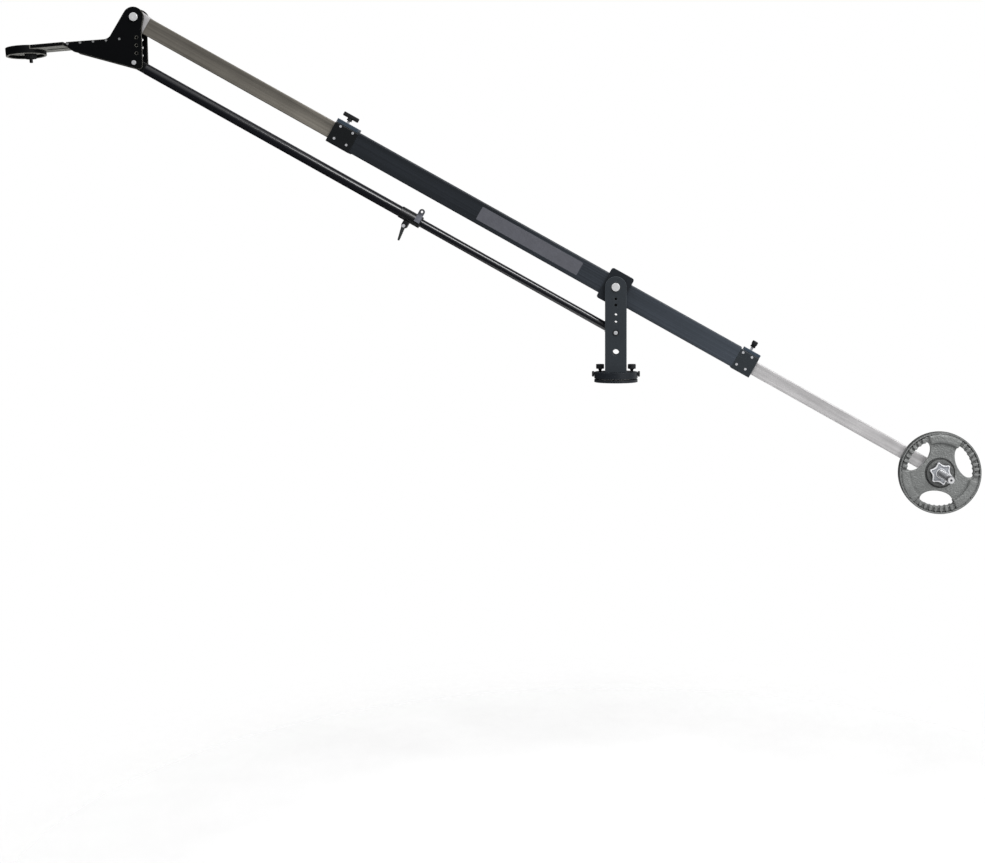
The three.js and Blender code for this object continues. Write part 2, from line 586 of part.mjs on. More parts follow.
// Bar across the rear tube, held by a set collar on each side of it
function buildWeightBar() {
  const near = -WEIGHT_BAR.near_end;
  const far = WEIGHT_BAR.far_end;
  const small = WEIGHT_BAR.radius - WEIGHT_BAR.chamfer;
  const body = join([
    cone("y", small, WEIGHT_BAR.radius, near, near + WEIGHT_BAR.chamfer),
    cylinder("y", WEIGHT_BAR.radius, near + WEIGHT_BAR.chamfer, far - WEIGHT_BAR.chamfer),
    cone("y", WEIGHT_BAR.radius, small, far - WEIGHT_BAR.chamfer, far),
  ]);
  const centre = cylinder("y", WEIGHT_BAR.centre_hole_radius, near - OVERRUN, near + WEIGHT_BAR.radius);
  place(weightGroup, "weight_bar", cut(body, [centre]), PLATED_STEEL);

  const outer = BAR_RING_INNER + BAR_RING.thick;
  const bore = WEIGHT_BAR.radius + RUNNING;
  const nearRing = pipe("y", BAR_RING.radius, bore, -outer, -BAR_RING_INNER);
  const farRing = pipe("y", BAR_RING.radius, bore, BAR_RING_INNER, outer);
  place(weightGroup, "bar_ring_near", nearRing, PLATED_STEEL);
  place(weightGroup, "bar_ring_far", farRing, PLATED_STEEL);
}

// Angle in the plane of the weight, measured from +X towards +Z when seen from the near side
function onCircle(radius, degrees) {
  const angle = THREE.MathUtils.degToRad(degrees);
  return [radius * Math.cos(angle), radius * Math.sin(angle)];
}

// One grip: its outer edge follows the rim and its inner edge bulges towards the hub
function gripOutline(middle) {
  const shape = new THREE.Shape();
  const { steps, bulge_power: power, corner_inset: inset } = GRIP_CURVE;
  const corner = GRIP.half_angle - inset;
  for (let i = 0; i <= steps; i += 1) {
    const share = (i / steps) * DOUBLE - 1;
    const point = onCircle(GRIP.outer_radius, middle + corner * share);
    if (i === 0) shape.moveTo(...point);
    else shape.lineTo(...point);
  }
  for (let i = 0; i <= steps; i += 1) {
    const share = 1 - (i / steps) * DOUBLE;
    const radius = GRIP.inner_radius + (GRIP.corner_radius - GRIP.inner_radius) * share ** power;
    shape.lineTo(...onCircle(radius, middle + GRIP.half_angle * share));
  }
  shape.closePath();
  return shape;
}

// A raised panel on the rim, over the spoke between two grips
function rimPadOutline(middle) {
  const shape = new THREE.Shape();
  const { steps } = GRIP_CURVE;
  for (let i = 0; i <= steps; i += 1) {
    const share = (i / steps) * DOUBLE - 1;
    const point = onCircle(RIM_PAD.outer_radius, middle + RIM_PAD.half_angle * share);
    if (i === 0) shape.moveTo(...point);
    else shape.lineTo(...point);
  }
  for (let i = 0; i <= steps; i += 1) {
    const share = 1 - (i / steps) * DOUBLE;
    shape.lineTo(...onCircle(RIM_PAD.inner_radius, middle + RIM_PAD.half_angle * share));
  }
  shape.closePath();
  return shape;
}

// Cast weight: a rim, a thinner web with three grips, a hub and raised panels on both faces
function buildWeight() {
  const middle = (WEIGHT_INNER + WEIGHT_OUTER) * HALF;
  const halfRim = WEIGHT.rim_thick * HALF;
  const halfWeb = WEIGHT.web_thick * HALF;
  const halfHub = halfRim;
  const rimInner = WEIGHT.radius - WEIGHT.rim_width;
  const edge = WEIGHT.rim_width * HALF * HALF;
  const groove = WEIGHT.hub_radius + WEIGHT_HUB.groove;
  const floor = halfWeb - WEIGHT_HUB.groove_depth;
  const halfProfile = [
    [WEIGHT_BAR.radius + RUNNING, halfHub],
    [WEIGHT.hub_radius - WEIGHT_HUB.groove, halfHub],
    [WEIGHT.hub_radius, floor],
    [groove, halfWeb],
    [rimInner - WEIGHT_HUB.groove, halfWeb],
    [rimInner, halfRim - edge * HALF],
    [rimInner + edge, halfRim],
    [WEIGHT.radius - edge, halfRim],
    [WEIGHT.radius, halfRim - edge],
  ];
  const lower = halfProfile.map(([radius, height]) => [radius, -height]);
  const points = [...lower, ...halfProfile.reverse()];
  const profile = [...points, points[0]].map(([radius, height]) => new THREE.Vector2(radius, height));
  const disc = new THREE.LatheGeometry(profile, LARGE_SIDES);
  const panels = [];
  const grips = [];
  for (let i = 0; i < GRIP_CURVE.count; i += 1) {
    const turn = (i * FULL_CIRCLE) / GRIP_CURVE.count;
    const reach = halfRim + OVERRUN;
    grips.push(acrossY(gripOutline(GRIP.first + turn), -reach, reach));
    const panel = halfRim + RIM_PAD.rise;
    panels.push(acrossY(rimPadOutline(RIM_PAD.first + turn), -panel, panel));
  }
  const weight = cut(join([disc, ...panels]), grips);
  place(weightGroup, "weight_plate", at(weight, 0, -middle, 0), CAST_GREY);
}

// Star collar that screws along the bar: six blunt points with hollow flanks, and a round boss
function buildStar(name, side, inner) {
  const shape = new THREE.Shape();
  const depth = STAR.point_radius - STAR.valley_radius;
  const { steps, tip_share: tip } = STAR_CURVE;
  for (let i = 0; i < STAR.points * steps; i += 1) {
    const along = ((i % steps) / steps - tip) / (1 - tip * DOUBLE);
    const share = THREE.MathUtils.clamp(along, 0, 1);
    const hollow = Math.sqrt(Math.sin(Math.PI * share));
    const turn = STAR.first + (i * FULL_CIRCLE) / (STAR.points * steps);
    const point = onCircle(STAR.point_radius - depth * hollow, turn);
    if (i === 0) shape.moveTo(...point);
    else shape.lineTo(...point);
  }
  shape.closePath();
  const boss = side < 0 ? [-inner - STAR_BOSS.length, -inner] : [inner, inner + STAR_BOSS.length];
  const outer = inner + STAR_BOSS.length + STAR.thick;
  const star = side < 0 ? [-outer, boss[0]] : [boss[1], outer];
  const bore = cylinder("y", WEIGHT_BAR.radius + RUNNING, -outer - OVERRUN, outer + OVERRUN);
  const body = join([cylinder("y", STAR_BOSS.radius, ...boss), acrossY(shape, ...star)]);
  place(weightGroup, name, cut(body, [bore]), BRIGHT_STEEL);
}

// An eye with a cross bore and a spigot, made about its own bore with the spigot towards +X
function rodEye(rod, side, bore) {
  const foot = ROD_EYE.neck;
  const shape = new THREE.Shape();
  shape.moveTo(foot, ROD_EYE.radius);
  shape.lineTo(0, ROD_EYE.radius);
  shape.absarc(0, 0, ROD_EYE.radius, Math.PI * HALF, Math.PI * (1 + HALF), false);
  shape.lineTo(foot, -ROD_EYE.radius);
  shape.closePath();
  const spigot = rod.radius - rod.wall - SEAT;
  const body = join([
    acrossY(shape, -ROD_EYE.half_width, ROD_EYE.half_width),
    cylinder("x", spigot, foot - OVERRUN, foot + ROD_EYE.spigot, SMALL_SIDES),
  ]);
  const hole = cylinder("y", bore, -ROD_EYE.radius - OVERRUN, ROD_EYE.radius + OVERRUN, SMALL_SIDES);
  const eye = cut(body, [hole]);
  return side < 0 ? eye.rotateY(Math.PI) : eye;
}

// The two tubes of the parallel rod and their end eyes
function buildRods() {
  const foot = ROD_EYE.neck + SEAT;
  const rearTube = pipe("x", REAR_ROD.radius, REAR_ROD.radius - REAR_ROD.wall, -REAR_ROD.inner_reach, -foot);
  place(rodGroup, "rod_rear_tube", rearTube, BLACK_TUBE);
  place(rodGroup, "rod_rear_eye", rodEye(REAR_ROD, -1, ROD_PIN.radius + RUNNING), BLACK_PAINT);

  const collarStart = -COLLAR.reach - COLLAR.length * HALF;
  const inner = FRONT_ROD.radius - FRONT_ROD.wall;
  const frontTube = pipe("x", FRONT_ROD.radius, inner, -HEAD_REACH + foot, collarStart + COLLAR.length);
  place(rodGroup, "rod_front_tube", frontTube, BLACK_TUBE);
  const eye = rodEye(FRONT_ROD, 1, HEAD_ROD_PIN.radius + SLIDING);
  place(rodGroup, "rod_front_eye", at(eye, -HEAD_REACH, 0, 0), BLACK_PAINT);
}

// Split collar that locks the rod's length, with its round-ended lug below and an upstanding ear
function buildCollar() {
  const start = -COLLAR.reach - COLLAR.length * HALF;
  const end = start + COLLAR.length;
  const lugStart = start + COLLAR_LUG.from_end;
  const boltX = lugStart + COLLAR_LUG.length * HALF;
  const round = COLLAR_LUG.length * HALF;
  const lugShape = new THREE.Shape();
  lugShape.moveTo(lugStart, 0);
  lugShape.lineTo(lugStart, round - COLLAR_LUG.drop);
  lugShape.absarc(boltX, round - COLLAR_LUG.drop, round, Math.PI, Math.PI * DOUBLE, false);
  lugShape.lineTo(lugStart + COLLAR_LUG.length, 0);
  lugShape.closePath();
  const lug = acrossY(lugShape, -COLLAR_LUG.width * HALF, COLLAR_LUG.width * HALF);
  const bore = cylinder("x", FRONT_ROD.radius + SEAT, start - OVERRUN, end + OVERRUN);
  const boltHole = cylinder("y", CLAMP_BOLT.radius + RUNNING, -COLLAR_LUG.width, COLLAR_LUG.width);
  at(boltHole, boltX, 0, -CLAMP_BOLT.drop);
  const body = join([cylinder("x", COLLAR.radius, start, end), lug]);
  place(rodGroup, "rod_collar", cut(body, [bore, boltHole]), BLACK_PAINT);

  const earX = end - EAR.from_end;
  const shape = new THREE.Shape();
  shape.moveTo(earX - EAR.half_width, -EAR.drop);
  shape.lineTo(earX + EAR.half_width, -EAR.drop);
  shape.lineTo(earX + EAR.half_width, EAR.rise);
  shape.absarc(earX, EAR.rise, EAR.half_width, 0, Math.PI, false);
  shape.closePath();
  const hole = new THREE.Path();
  hole.absarc(earX, EAR.rise, EAR.hole_radius, 0, Math.PI * DOUBLE, true);
  shape.holes.push(hole);
  const inner = COLLAR.radius + SEAT;
  place(rodGroup, "rod_ear", acrossY(shape, -inner - EAR.thick, -inner), BLACK_PAINT);

  const lugFace = COLLAR_LUG.width * HALF;
  const nearEnd = -lugFace - SEAT - LEVER.thick;
  const headStart = lugFace + SEAT;
  const bolt = join([
    cylinder("y", CLAMP_BOLT.radius, nearEnd, headStart, SMALL_SIDES),
    cylinder("y", CLAMP_BOLT.head_radius, headStart, headStart + CLAMP_BOLT.head_thick, SMALL_SIDES),
  ]);
  place(rodGroup, "collar_bolt", at(bolt, boltX, 0, -CLAMP_BOLT.drop), PLATED_STEEL);
}

// Tapered lever on the collar's bolt, tilted from the lug towards the plumb line
function buildLever() {
  const lugStart = -COLLAR.reach - COLLAR.length * HALF + COLLAR_LUG.from_end;
  const boltX = lugStart + COLLAR_LUG.length * HALF;
  const shape = new THREE.Shape();
  shape.moveTo(-LEVER.hub_radius, 0);
  shape.lineTo(-LEVER.tip_radius, -LEVER.length);
  shape.absarc(0, -LEVER.length, LEVER.tip_radius, Math.PI, Math.PI * DOUBLE, false);
  shape.lineTo(LEVER.hub_radius, 0);
  shape.absarc(0, 0, LEVER.hub_radius, 0, Math.PI, false);
  const outer = -COLLAR_LUG.width * HALF - SEAT;
  const arm = acrossY(shape, outer - LEVER.thick, outer);
  const bore = cylinder("y", CLAMP_BOLT.radius + RUNNING, outer - LEVER.thick - OVERRUN, outer + OVERRUN);
  const lever = cut(arm, [bore]).rotateY(-LEVER.tilt);
  place(rodGroup, "rod_lever", at(lever, boltX, 0, -CLAMP_BOLT.drop), BLACK_PLASTIC);
}

// Outline of the head's side plate about the head pivot: a round crown, a long nose along the
// platform and a rounded heel under the rod's pin
const PLATE_OUTLINE = {
  nose_tip: [-198, -71.2],
  nose_low: [-193.5, -86.6],
  belly: [-174.5, -99.3],
  heel_low: [9.2, -149],
  heel_corner: [25, -153.9],
  heel_back: [24.7, -133.5],
  back_waist: [22, -30.5],
  slope: [-69, -52.6],
  fillet: [-75.6, -62.9],
  nose_top: [-92, -63.6],
};
const CROWN = { back_angle: THREE.MathUtils.degToRad(-16), front_angle: THREE.MathUtils.degToRad(149.2) };

function headPlateOutline() {
  const points = PLATE_OUTLINE;
  const shape = new THREE.Shape();
  shape.moveTo(...points.nose_tip);
  shape.lineTo(...points.nose_low);
  shape.lineTo(...points.belly);
  shape.lineTo(...points.heel_low);
  shape.quadraticCurveTo(...points.heel_corner, ...points.heel_back);
  shape.lineTo(...points.back_waist);
  const { crown_radius: radius, crown_forward: forward, crown_sink: sink } = HEAD_PLATE;
  shape.absarc(-forward, -sink, radius, CROWN.back_angle, CROWN.front_angle, false);
  shape.lineTo(...points.slope);
  shape.quadraticCurveTo(...points.fillet, ...points.nose_top);
  shape.closePath();
  return shape;
}

function buildHeadPlate(name, side) {
  const ends = side < 0 ? [-HEAD_OUTER, -HEAD_INNER] : [HEAD_INNER, HEAD_OUTER];
  const cutEnds = [ends[0] - OVERRUN, ends[1] + OVERRUN];
  const tools = [
    cylinder("y", HEAD_PIN.radius + RUNNING, ...cutEnds),
    at(cylinder("y", HEAD_ROD_PIN.radius + RUNNING, ...cutEnds, SMALL_SIDES), 0, 0, -LINK_DROP),
  ];
  for (let i = 0; i < HEAD_HOLE.count; i += 1) {
    const drop = HEAD_HOLE.first_drop + HEAD_HOLE.pitch * i;
    const hole = cylinder("y", HEAD_HOLE.radius, ...cutEnds, SMALL_SIDES);
    tools.push(at(hole, HEAD_HOLE.back, 0, -drop));
  }
  place(headGroup, name, cut(acrossY(headPlateOutline(), ...ends), tools), BLACK_PAINT);
}

// Pin through both side plates, with a head at each end
function headPin(pin) {
  const inner = HEAD_OUTER + SEAT;
  const outer = inner + pin.head_thick;
  return join([
    cylinder("y", pin.radius, -outer, outer, SMALL_SIDES),
    cylinder("y", pin.head_radius, -outer, -inner, SMALL_SIDES),
    cylinder("y", pin.head_radius, inner, outer, SMALL_SIDES),
  ]);
}

function buildHeadPins() {
  place(headGroup, "head_pivot_pin", headPin(HEAD_PIN), BRIGHT_STEEL);
  place(headGroup, "head_rod_pin", at(headPin(HEAD_ROD_PIN), 0, 0, -LINK_DROP), PLATED_STEEL);
  const washerEnds = [HEAD_WASHER_INNER, HEAD_WASHER_INNER + HEAD_WASHER.thick];
  const bore = HEAD_PIN.radius + RUNNING;
  const near = pipe("y", HEAD_WASHER.radius, bore, -washerEnds[1], -washerEnds[0]);
  place(headGroup, "head_washer_near", near, NYLON);
  place(headGroup, "head_washer_far", pipe("y", HEAD_WASHER.radius, bore, ...washerEnds), NYLON);

  const spacerEnds = [ROD_EYE.half_width + SEAT, HEAD_INNER - SEAT];
  const rodBore = HEAD_ROD_PIN.radius + RUNNING;
  const spacer = ROD_PIN.head_radius;
  const nearSpacer = pipe("y", spacer, rodBore, -spacerEnds[1], -spacerEnds[0], SMALL_SIDES);
  const farSpacer = pipe("y", spacer, rodBore, ...spacerEnds, SMALL_SIDES);
  place(headGroup, "head_spacer_near", at(nearSpacer, 0, 0, -LINK_DROP), NYLON);
  place(headGroup, "head_spacer_far", at(farSpacer, 0, 0, -LINK_DROP), NYLON);
}

// Platform plate: a narrow tongue between the side plates, a wide nose ahead of them, two slots
function buildPlatform() {
  const nose = PLATFORM.nose_half_width;
  const tongue = HEAD_INNER - SEAT;
  const span = { nose_from: RING.forward, ...PLATFORM_SPAN };
  const shape = new THREE.Shape();
  shape.moveTo(-span.nose_from, -nose);
  shape.lineTo(-span.nose_to, -nose);
  shape.lineTo(-span.nose_to, -tongue);
  shape.lineTo(-span.tongue_to, -tongue);
  shape.lineTo(-span.tongue_to, tongue);
  shape.lineTo(-span.nose_to, tongue);
  shape.lineTo(-span.nose_to, nose);
  shape.lineTo(-span.nose_from, nose);
  shape.absarc(-span.nose_from, 0, nose, Math.PI * HALF, Math.PI * (1 + HALF), false);
  const slot = (from, to, half) => {
    const path = new THREE.Path();
    path.moveTo(-from, -half);
    path.lineTo(-to, -half);
    path.absarc(-to, 0, half, -Math.PI * HALF, Math.PI * HALF, false);
    path.lineTo(-from, half);
    path.absarc(-from, 0, half, Math.PI * HALF, Math.PI * (1 + HALF), false);
    return path;
  };
  const studAt = RING.forward - CAMERA_KNOB.back;
  shape.holes.push(slot(PLATFORM_SLOT.from, PLATFORM_SLOT.to, PLATFORM_SLOT.half_width));
  const studEnds = [studAt + STUD_SLOT.half_length, studAt - STUD_SLOT.half_length];
  shape.holes.push(slot(...studEnds, STUD_SLOT.half_width));
  const plate = upZ(shape, -PLATFORM.thick, 0);
  place(platformGroup, "platform_plate", plate, BLACK_PAINT);
}

// Camera ring round the platform's nose: a shallow drum, recessed from below for the knob
function buildRing() {
  const foot = -RING.height;
  const plateFoot = -PLATFORM.thick - SEAT;
  const ceiling = foot + RING.recess_depth;
  const nose = PLATFORM.nose_half_width + SEAT;
  const centre = -RING.forward;
  const drum = at(cylinder("z", RING.radius, foot, 0, LARGE_SIDES), centre, 0, 0);
  const slot = new THREE.Shape();
  slot.moveTo(centre, -nose);
  slot.lineTo(centre + RING.radius + OVERRUN, -nose);
  slot.lineTo(centre + RING.radius + OVERRUN, nose);
  slot.lineTo(centre, nose);
  slot.absarc(centre, 0, nose, Math.PI * HALF, Math.PI * (1 + HALF), false);
  const seat = upZ(slot, plateFoot, OVERRUN);
  const recess = cylinder("z", RING.recess_radius, foot - OVERRUN, ceiling, LARGE_SIDES);
  at(recess, centre, 0, 0);
  const studHole = cylinder("z", CAMERA_KNOB.stud_radius + RUNNING, foot - OVERRUN, 0, SMALL_SIDES);
  at(studHole, centre + CAMERA_KNOB.back, 0, 0);
  place(platformGroup, "camera_ring", cut(drum, [seat, recess, studHole]), BLACK_PAINT);
}

// Knob and stud that fix the camera, from below in the ring's recess
function buildCameraKnob() {
  const top = -RING.height + RING.recess_depth - SEAT;
  const foot = top - CAMERA_KNOB.thick;
  const knob = join([
    cylinder("z", CAMERA_KNOB.radius, foot, top, SMALL_SIDES),
    cylinder("z", CAMERA_KNOB.stud_radius, foot - CAMERA_KNOB.stud_length, -SEAT, SMALL_SIDES),
  ]);
  at(knob, -RING.forward + CAMERA_KNOB.back, 0, 0);
  place(platformGroup, "camera_knob", knob, BLACK_PLASTIC);
}

// Stand-off between the side plates at the heel
function buildStandOff() {
  const reach = HEAD_INNER - SEAT;
  const bar = cylinder("y", STAND_OFF.radius, -reach, reach, SMALL_SIDES);
  place(headGroup, "head_stand_off", at(bar, -STAND_OFF.back, 0, -STAND_OFF.drop), PLATED_STEEL);
}

buildBase();
buildTurntable();
buildUpright("upright_near", -1);
buildUpright("upright_far", 1);
buildAxle();
buildRodPin();
buildHoldKnob("hold_knob_left", -1);
buildHoldKnob("hold_knob_right", 1);
buildPanKnob("pan_lock_knob", -1);
buildPanKnob("pan_drag_knob", 1);

buildMainTube();
buildCheek("cheek_near", "side_washer_near", -1);
buildCheek("cheek_far", "side_washer_far", 1);

const frontTo = -FRONT_CLAMP_REACH - SEAT;
const frontFrom = frontTo - FRONT_CLAMP.length;
const frontKnob = frontFrom + FRONT_CLAMP.knob_from_face;
const frontCap = [frontFrom, frontTo - FRONT_CLAMP.cap_setback];
const frontSpan = { block: [frontFrom, frontTo, frontKnob], cap: frontCap };
const rearFrom = REAR_CLAMP_REACH + SEAT;
const rearTo = rearFrom + REAR_CLAMP.length;
const rearKnob = rearTo - REAR_CLAMP.knob_from_face;
const rearCap = [rearFrom + REAR_CLAMP.cap_setback, rearTo];
const rearSpan = { block: [rearFrom, rearTo, rearKnob], cap: rearCap };
buildClamp("clamp_front", "clamp_front_cap", frontSpan, FRONT_CLAMP, FRONT_TUBE, 0);
buildClamp("clamp_rear", "clamp_rear_cap", rearSpan, REAR_CLAMP, REAR_TUBE, REAR_DROP);
buildTKnob("knob_front", frontKnob, FRONT_CLAMP, FRONT_TUBE, 0, false);
buildTKnob("knob_rear", rearKnob, REAR_CLAMP, REAR_TUBE, REAR_DROP, true);

buildFrontTube();
const frontPadEnd = -FRONT_TUBE_INNER_REACH;
buildSlidePad("front_slide_pad", FRONT_TUBE, 0, frontPadEnd - SLIDE_PAD.length, frontPadEnd);
buildRearTube();
const rearPadStart = REAR_TUBE_INNER_REACH;
const rearPadEnd = rearPadStart + SLIDE_PAD.length;
buildSlidePad("rear_slide_pad", REAR_TUBE, REAR_DROP, rearPadStart, rearPadEnd);
buildWeightBar();
buildWeight();
buildStar("star_collar_near", -1, WEIGHT_OUTER + WEIGHT_HUB.face_gap);
buildStar("star_collar_far", 1, BAR_RING_INNER + BAR_RING.thick + WEIGHT_HUB.face_gap);

buildRods();
buildCollar();
buildLever();

buildHeadPlate("head_plate_near", -1);
buildHeadPlate("head_plate_far", 1);
buildHeadPins();
buildStandOff();
buildPlatform();
buildRing();
buildCameraKnob();

export default crane;
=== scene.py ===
import math

import bmesh
import bpy
from mathutils import Matrix, Vector


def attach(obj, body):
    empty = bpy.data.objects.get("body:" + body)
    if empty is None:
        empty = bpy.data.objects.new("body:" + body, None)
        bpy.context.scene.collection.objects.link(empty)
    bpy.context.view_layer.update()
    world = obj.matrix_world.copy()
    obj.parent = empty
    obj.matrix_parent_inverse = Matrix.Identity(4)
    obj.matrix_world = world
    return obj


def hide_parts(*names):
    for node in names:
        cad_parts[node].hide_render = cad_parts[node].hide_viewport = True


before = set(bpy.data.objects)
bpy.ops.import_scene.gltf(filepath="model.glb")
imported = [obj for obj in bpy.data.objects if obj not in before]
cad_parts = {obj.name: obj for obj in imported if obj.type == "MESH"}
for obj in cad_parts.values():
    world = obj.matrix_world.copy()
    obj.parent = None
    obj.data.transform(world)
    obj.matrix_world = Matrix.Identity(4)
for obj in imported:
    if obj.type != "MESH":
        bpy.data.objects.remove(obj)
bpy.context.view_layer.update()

# Base flange, thrust washer and spindle
# The flange is the crane's foot, a turned aluminium disc, anodised black, that is bolted down
# through four holes. A nylon washer lies on it, and a steel spindle holds the turntable down.
MM_PER_M = 1000
NOISE_LOW, NOISE_HIGH = 0.3, 0.7
SHARP_ANGLE = math.radians(38)


def srgb(red, green, blue):
    """A colour as it is read off a screen, in linear light."""
    def linear(level):
        share = level / 255
        return share / 12.92 if share <= 0.04045 else ((share + 0.055) / 1.055) ** 2.4
    return (linear(red), linear(green), linear(blue), 1.0)


def wired(tree, kind, links=None, **settings):
    """A node with its settings made and its named inputs linked or set."""
    node = tree.nodes.new(kind)
    for label, value in settings.items():
        setattr(node, label, value)
    for label, value in (links or {}).items():
        if isinstance(value, bpy.types.NodeSocket):
            tree.links.new(value, node.inputs[label])
        else:
            node.inputs[label].default_value = value
    return node


def worked(tree, operation, first, second, **settings):
    """The result of a sum of two numbers or outputs."""
    return wired(tree, "ShaderNodeMath", {0: first, 1: second}, operation=operation, **settings).outputs[0]


def ranged(tree, value, first, last, low, high, **settings):
    """A value that goes from low to high while the one it follows goes from first to last."""
    span = {"Value": value, "From Min": first, "From Max": last, "To Min": low, "To Max": high}
    return wired(tree, "ShaderNodeMapRange", span, **settings).outputs["Result"]


def of_vectors(tree, operation, first, second, output="Vector"):
    both = {0: first, 1: second}
    return wired(tree, "ShaderNodeVectorMath", both, operation=operation).outputs[output]


def scaled(tree, colour, share):
    links = {0: colour, "Scale": share}
    return wired(tree, "ShaderNodeVectorMath", links, operation="SCALE").outputs["Vector"]


def own_place(tree):
    """The place in the crane's frame at rest, which goes with a piece when its joint moves."""
    return wired(tree, "ShaderNodeTexCoord").outputs["Object"]


def noise(tree, place, scale, detail, roughness=0.5):
    sizes = {"Vector": place, "Scale": scale, "Detail": detail, "Roughness": roughness}
    return wired(tree, "ShaderNodeTexNoise", sizes).outputs["Fac"]


def effect(name, output, **sizes):
    """An empty shader group for one effect: the group, its sizes' sockets and the one it ends in."""
    group = bpy.data.node_groups.new(name, "ShaderNodeTree")
    for label, value in sizes.items():
        kind = "NodeSocketFloat" if isinstance(value, float) else "NodeSocketVector"
        group.interface.new_socket(label, in_out="INPUT", socket_type=kind).default_value = value
    group.interface.new_socket(output, in_out="OUTPUT", socket_type="NodeSocketFloat")
    start, end = group.nodes.new("NodeGroupInput"), group.nodes.new("NodeGroupOutput")
    return group, start.outputs, end.inputs[output]


def placed(tree, group, **sizes):
    """The output of an effect that is placed in a finish with its own values."""
    return wired(tree, "ShaderNodeGroup", sizes, node_tree=group).outputs[0]


def cloudy_tone_group():
    group, sizes, end = effect("Cloudy tone", "Tone", Size=0.1, Spread=0.1)
    clouds = noise(group, own_place(group), worked(group, "DIVIDE", 1.0, sizes["Size"]), 5.0, 0.6)
    low = worked(group, "SUBTRACT", 1.0, sizes["Spread"])
    high = worked(group, "ADD", 1.0, sizes["Spread"])
    group.links.new(ranged(group, clouds, NOISE_LOW, NOISE_HIGH, low, high), end)
    return group


# Lighter edges: edge wear on most finishes, and a painted highlight along the edges of the head plates and
# clamps.
def edge_wear_and_highlight_group():
    group, sizes, end = effect("Edge wear and highlight", "Lighter edge", Width=0.001, Amount=0.5)
    rounded = wired(group, "ShaderNodeBevel", {"Radius": sizes["Width"]}, samples=5).outputs["Normal"]
    face = wired(group, "ShaderNodeNewGeometry").outputs["Normal"]
    match = of_vectors(group, "DOT_PRODUCT", rounded, face, "Value")
    edge = ranged(group, match, 0.995, 0.86, 0.0, 1.0)
    broken = ranged(group, noise(group, own_place(group), 60.0, 4.0), 0.25, 0.6, 0.45, 1.0)
    edge_mark = worked(group, "MULTIPLY", edge, broken)
    group.links.new(worked(group, "MULTIPLY", edge_mark, sizes["Amount"], use_clamp=True), end)
    return group


def fine_grain_group():
    group, sizes, end = effect("Fine grain", "Height", Size=0.001)
    group.links.new(noise(group, own_place(group), worked(group, "DIVIDE", 1.0, sizes["Size"]), 2.0), end)
    return group


cloudy_tone, edge_wear_and_highlight, fine_grain = cloudy_tone_group(), edge_wear_and_highlight_group(), fine_grain_group()


def blended(tree, share, before, colour):
    """A finish's colour blended towards another, where the share is 1."""
    mix = wired(tree, "ShaderNodeMix", {"Factor": share}, data_type="RGBA")
    tree.links.new(before, mix.inputs[6])
    mix.inputs[7].default_value = srgb(*colour)
    return mix.outputs[2]


def bumped(material, height, strength, distance):
    """Raises a pattern on a finish, over the bumps that it has already."""
    tree = material.node_tree
    normal = tree.nodes["Principled BSDF"].inputs["Normal"]
    links = {"Height": height, "Strength": strength, "Distance": distance}
    if normal.links:
        links["Normal"] = normal.links[0].from_socket
    tree.links.new(wired(tree, "ShaderNodeBump", links).outputs["Normal"], normal)


def finish(name, colour, rough, metal=0.0, specular=0.3, cloud=(0.12, 0.1), edge_mark=(0.0012, 0.35),
           edge_colour=(120, 122, 126), grain=(0.0006, 0.15)):
    """A finish: a base colour with slow changes of tone, lighter edges and a fine grain.

    cloud is the size in metres and the spread of the tone, edge_mark the width and the amount of
    the lighter edge, which is edge wear and, where strong, a painted highlight, edge_colour its
    colour, and grain the size in metres and the strength of the bump.
    """
    material = bpy.data.materials.new(name)
    material.use_nodes = True
    tree = material.node_tree
    inputs = tree.nodes["Principled BSDF"].inputs
    inputs["Metallic"].default_value, inputs["Specular IOR Level"].default_value = metal, specular
    tone = placed(tree, cloudy_tone, Size=cloud[0], Spread=cloud[1])
    edge_share = placed(tree, edge_wear_and_highlight, Width=edge_mark[0], Amount=edge_mark[1])
    toned = scaled(tree, srgb(*colour)[:3], tone)
    tree.links.new(blended(tree, edge_share, toned, edge_colour), inputs["Base Color"])
    tree.links.new(ranged(tree, tone, 0.8, 1.2, rough * 1.15, rough * 0.85), inputs["Roughness"])
    bumped(material, placed(tree, fine_grain, Size=grain[0]), grain[1], grain[0])
    return material


def arc(centre, radius, first, last, steps=24):
    """Points on an arc between two angles in degrees."""
    turns = [math.radians(first + (last - first) * i / steps) for i in range(steps + 1)]
    return [(centre[0] + radius * math.cos(a), centre[1] + radius * math.sin(a)) for a in turns]


def circle(radius, centre=(0, 0), steps=48):
    return arc(centre, radius, 0, 360 - 360 / steps, steps - 1)


def cleaned(mesh):
    """Doubles merged and faces turned outwards."""
    shape = bmesh.new()
    shape.from_mesh(mesh)
    bmesh.ops.remove_doubles(shape, verts=shape.verts, dist=1e-6)
    bmesh.ops.recalc_face_normals(shape, faces=shape.faces)
    shape.to_mesh(mesh)
    shape.free()


def piece_of(name, mesh):
    piece = bpy.data.objects.new(name, mesh)
    bpy.context.scene.collection.objects.link(piece)
    return piece


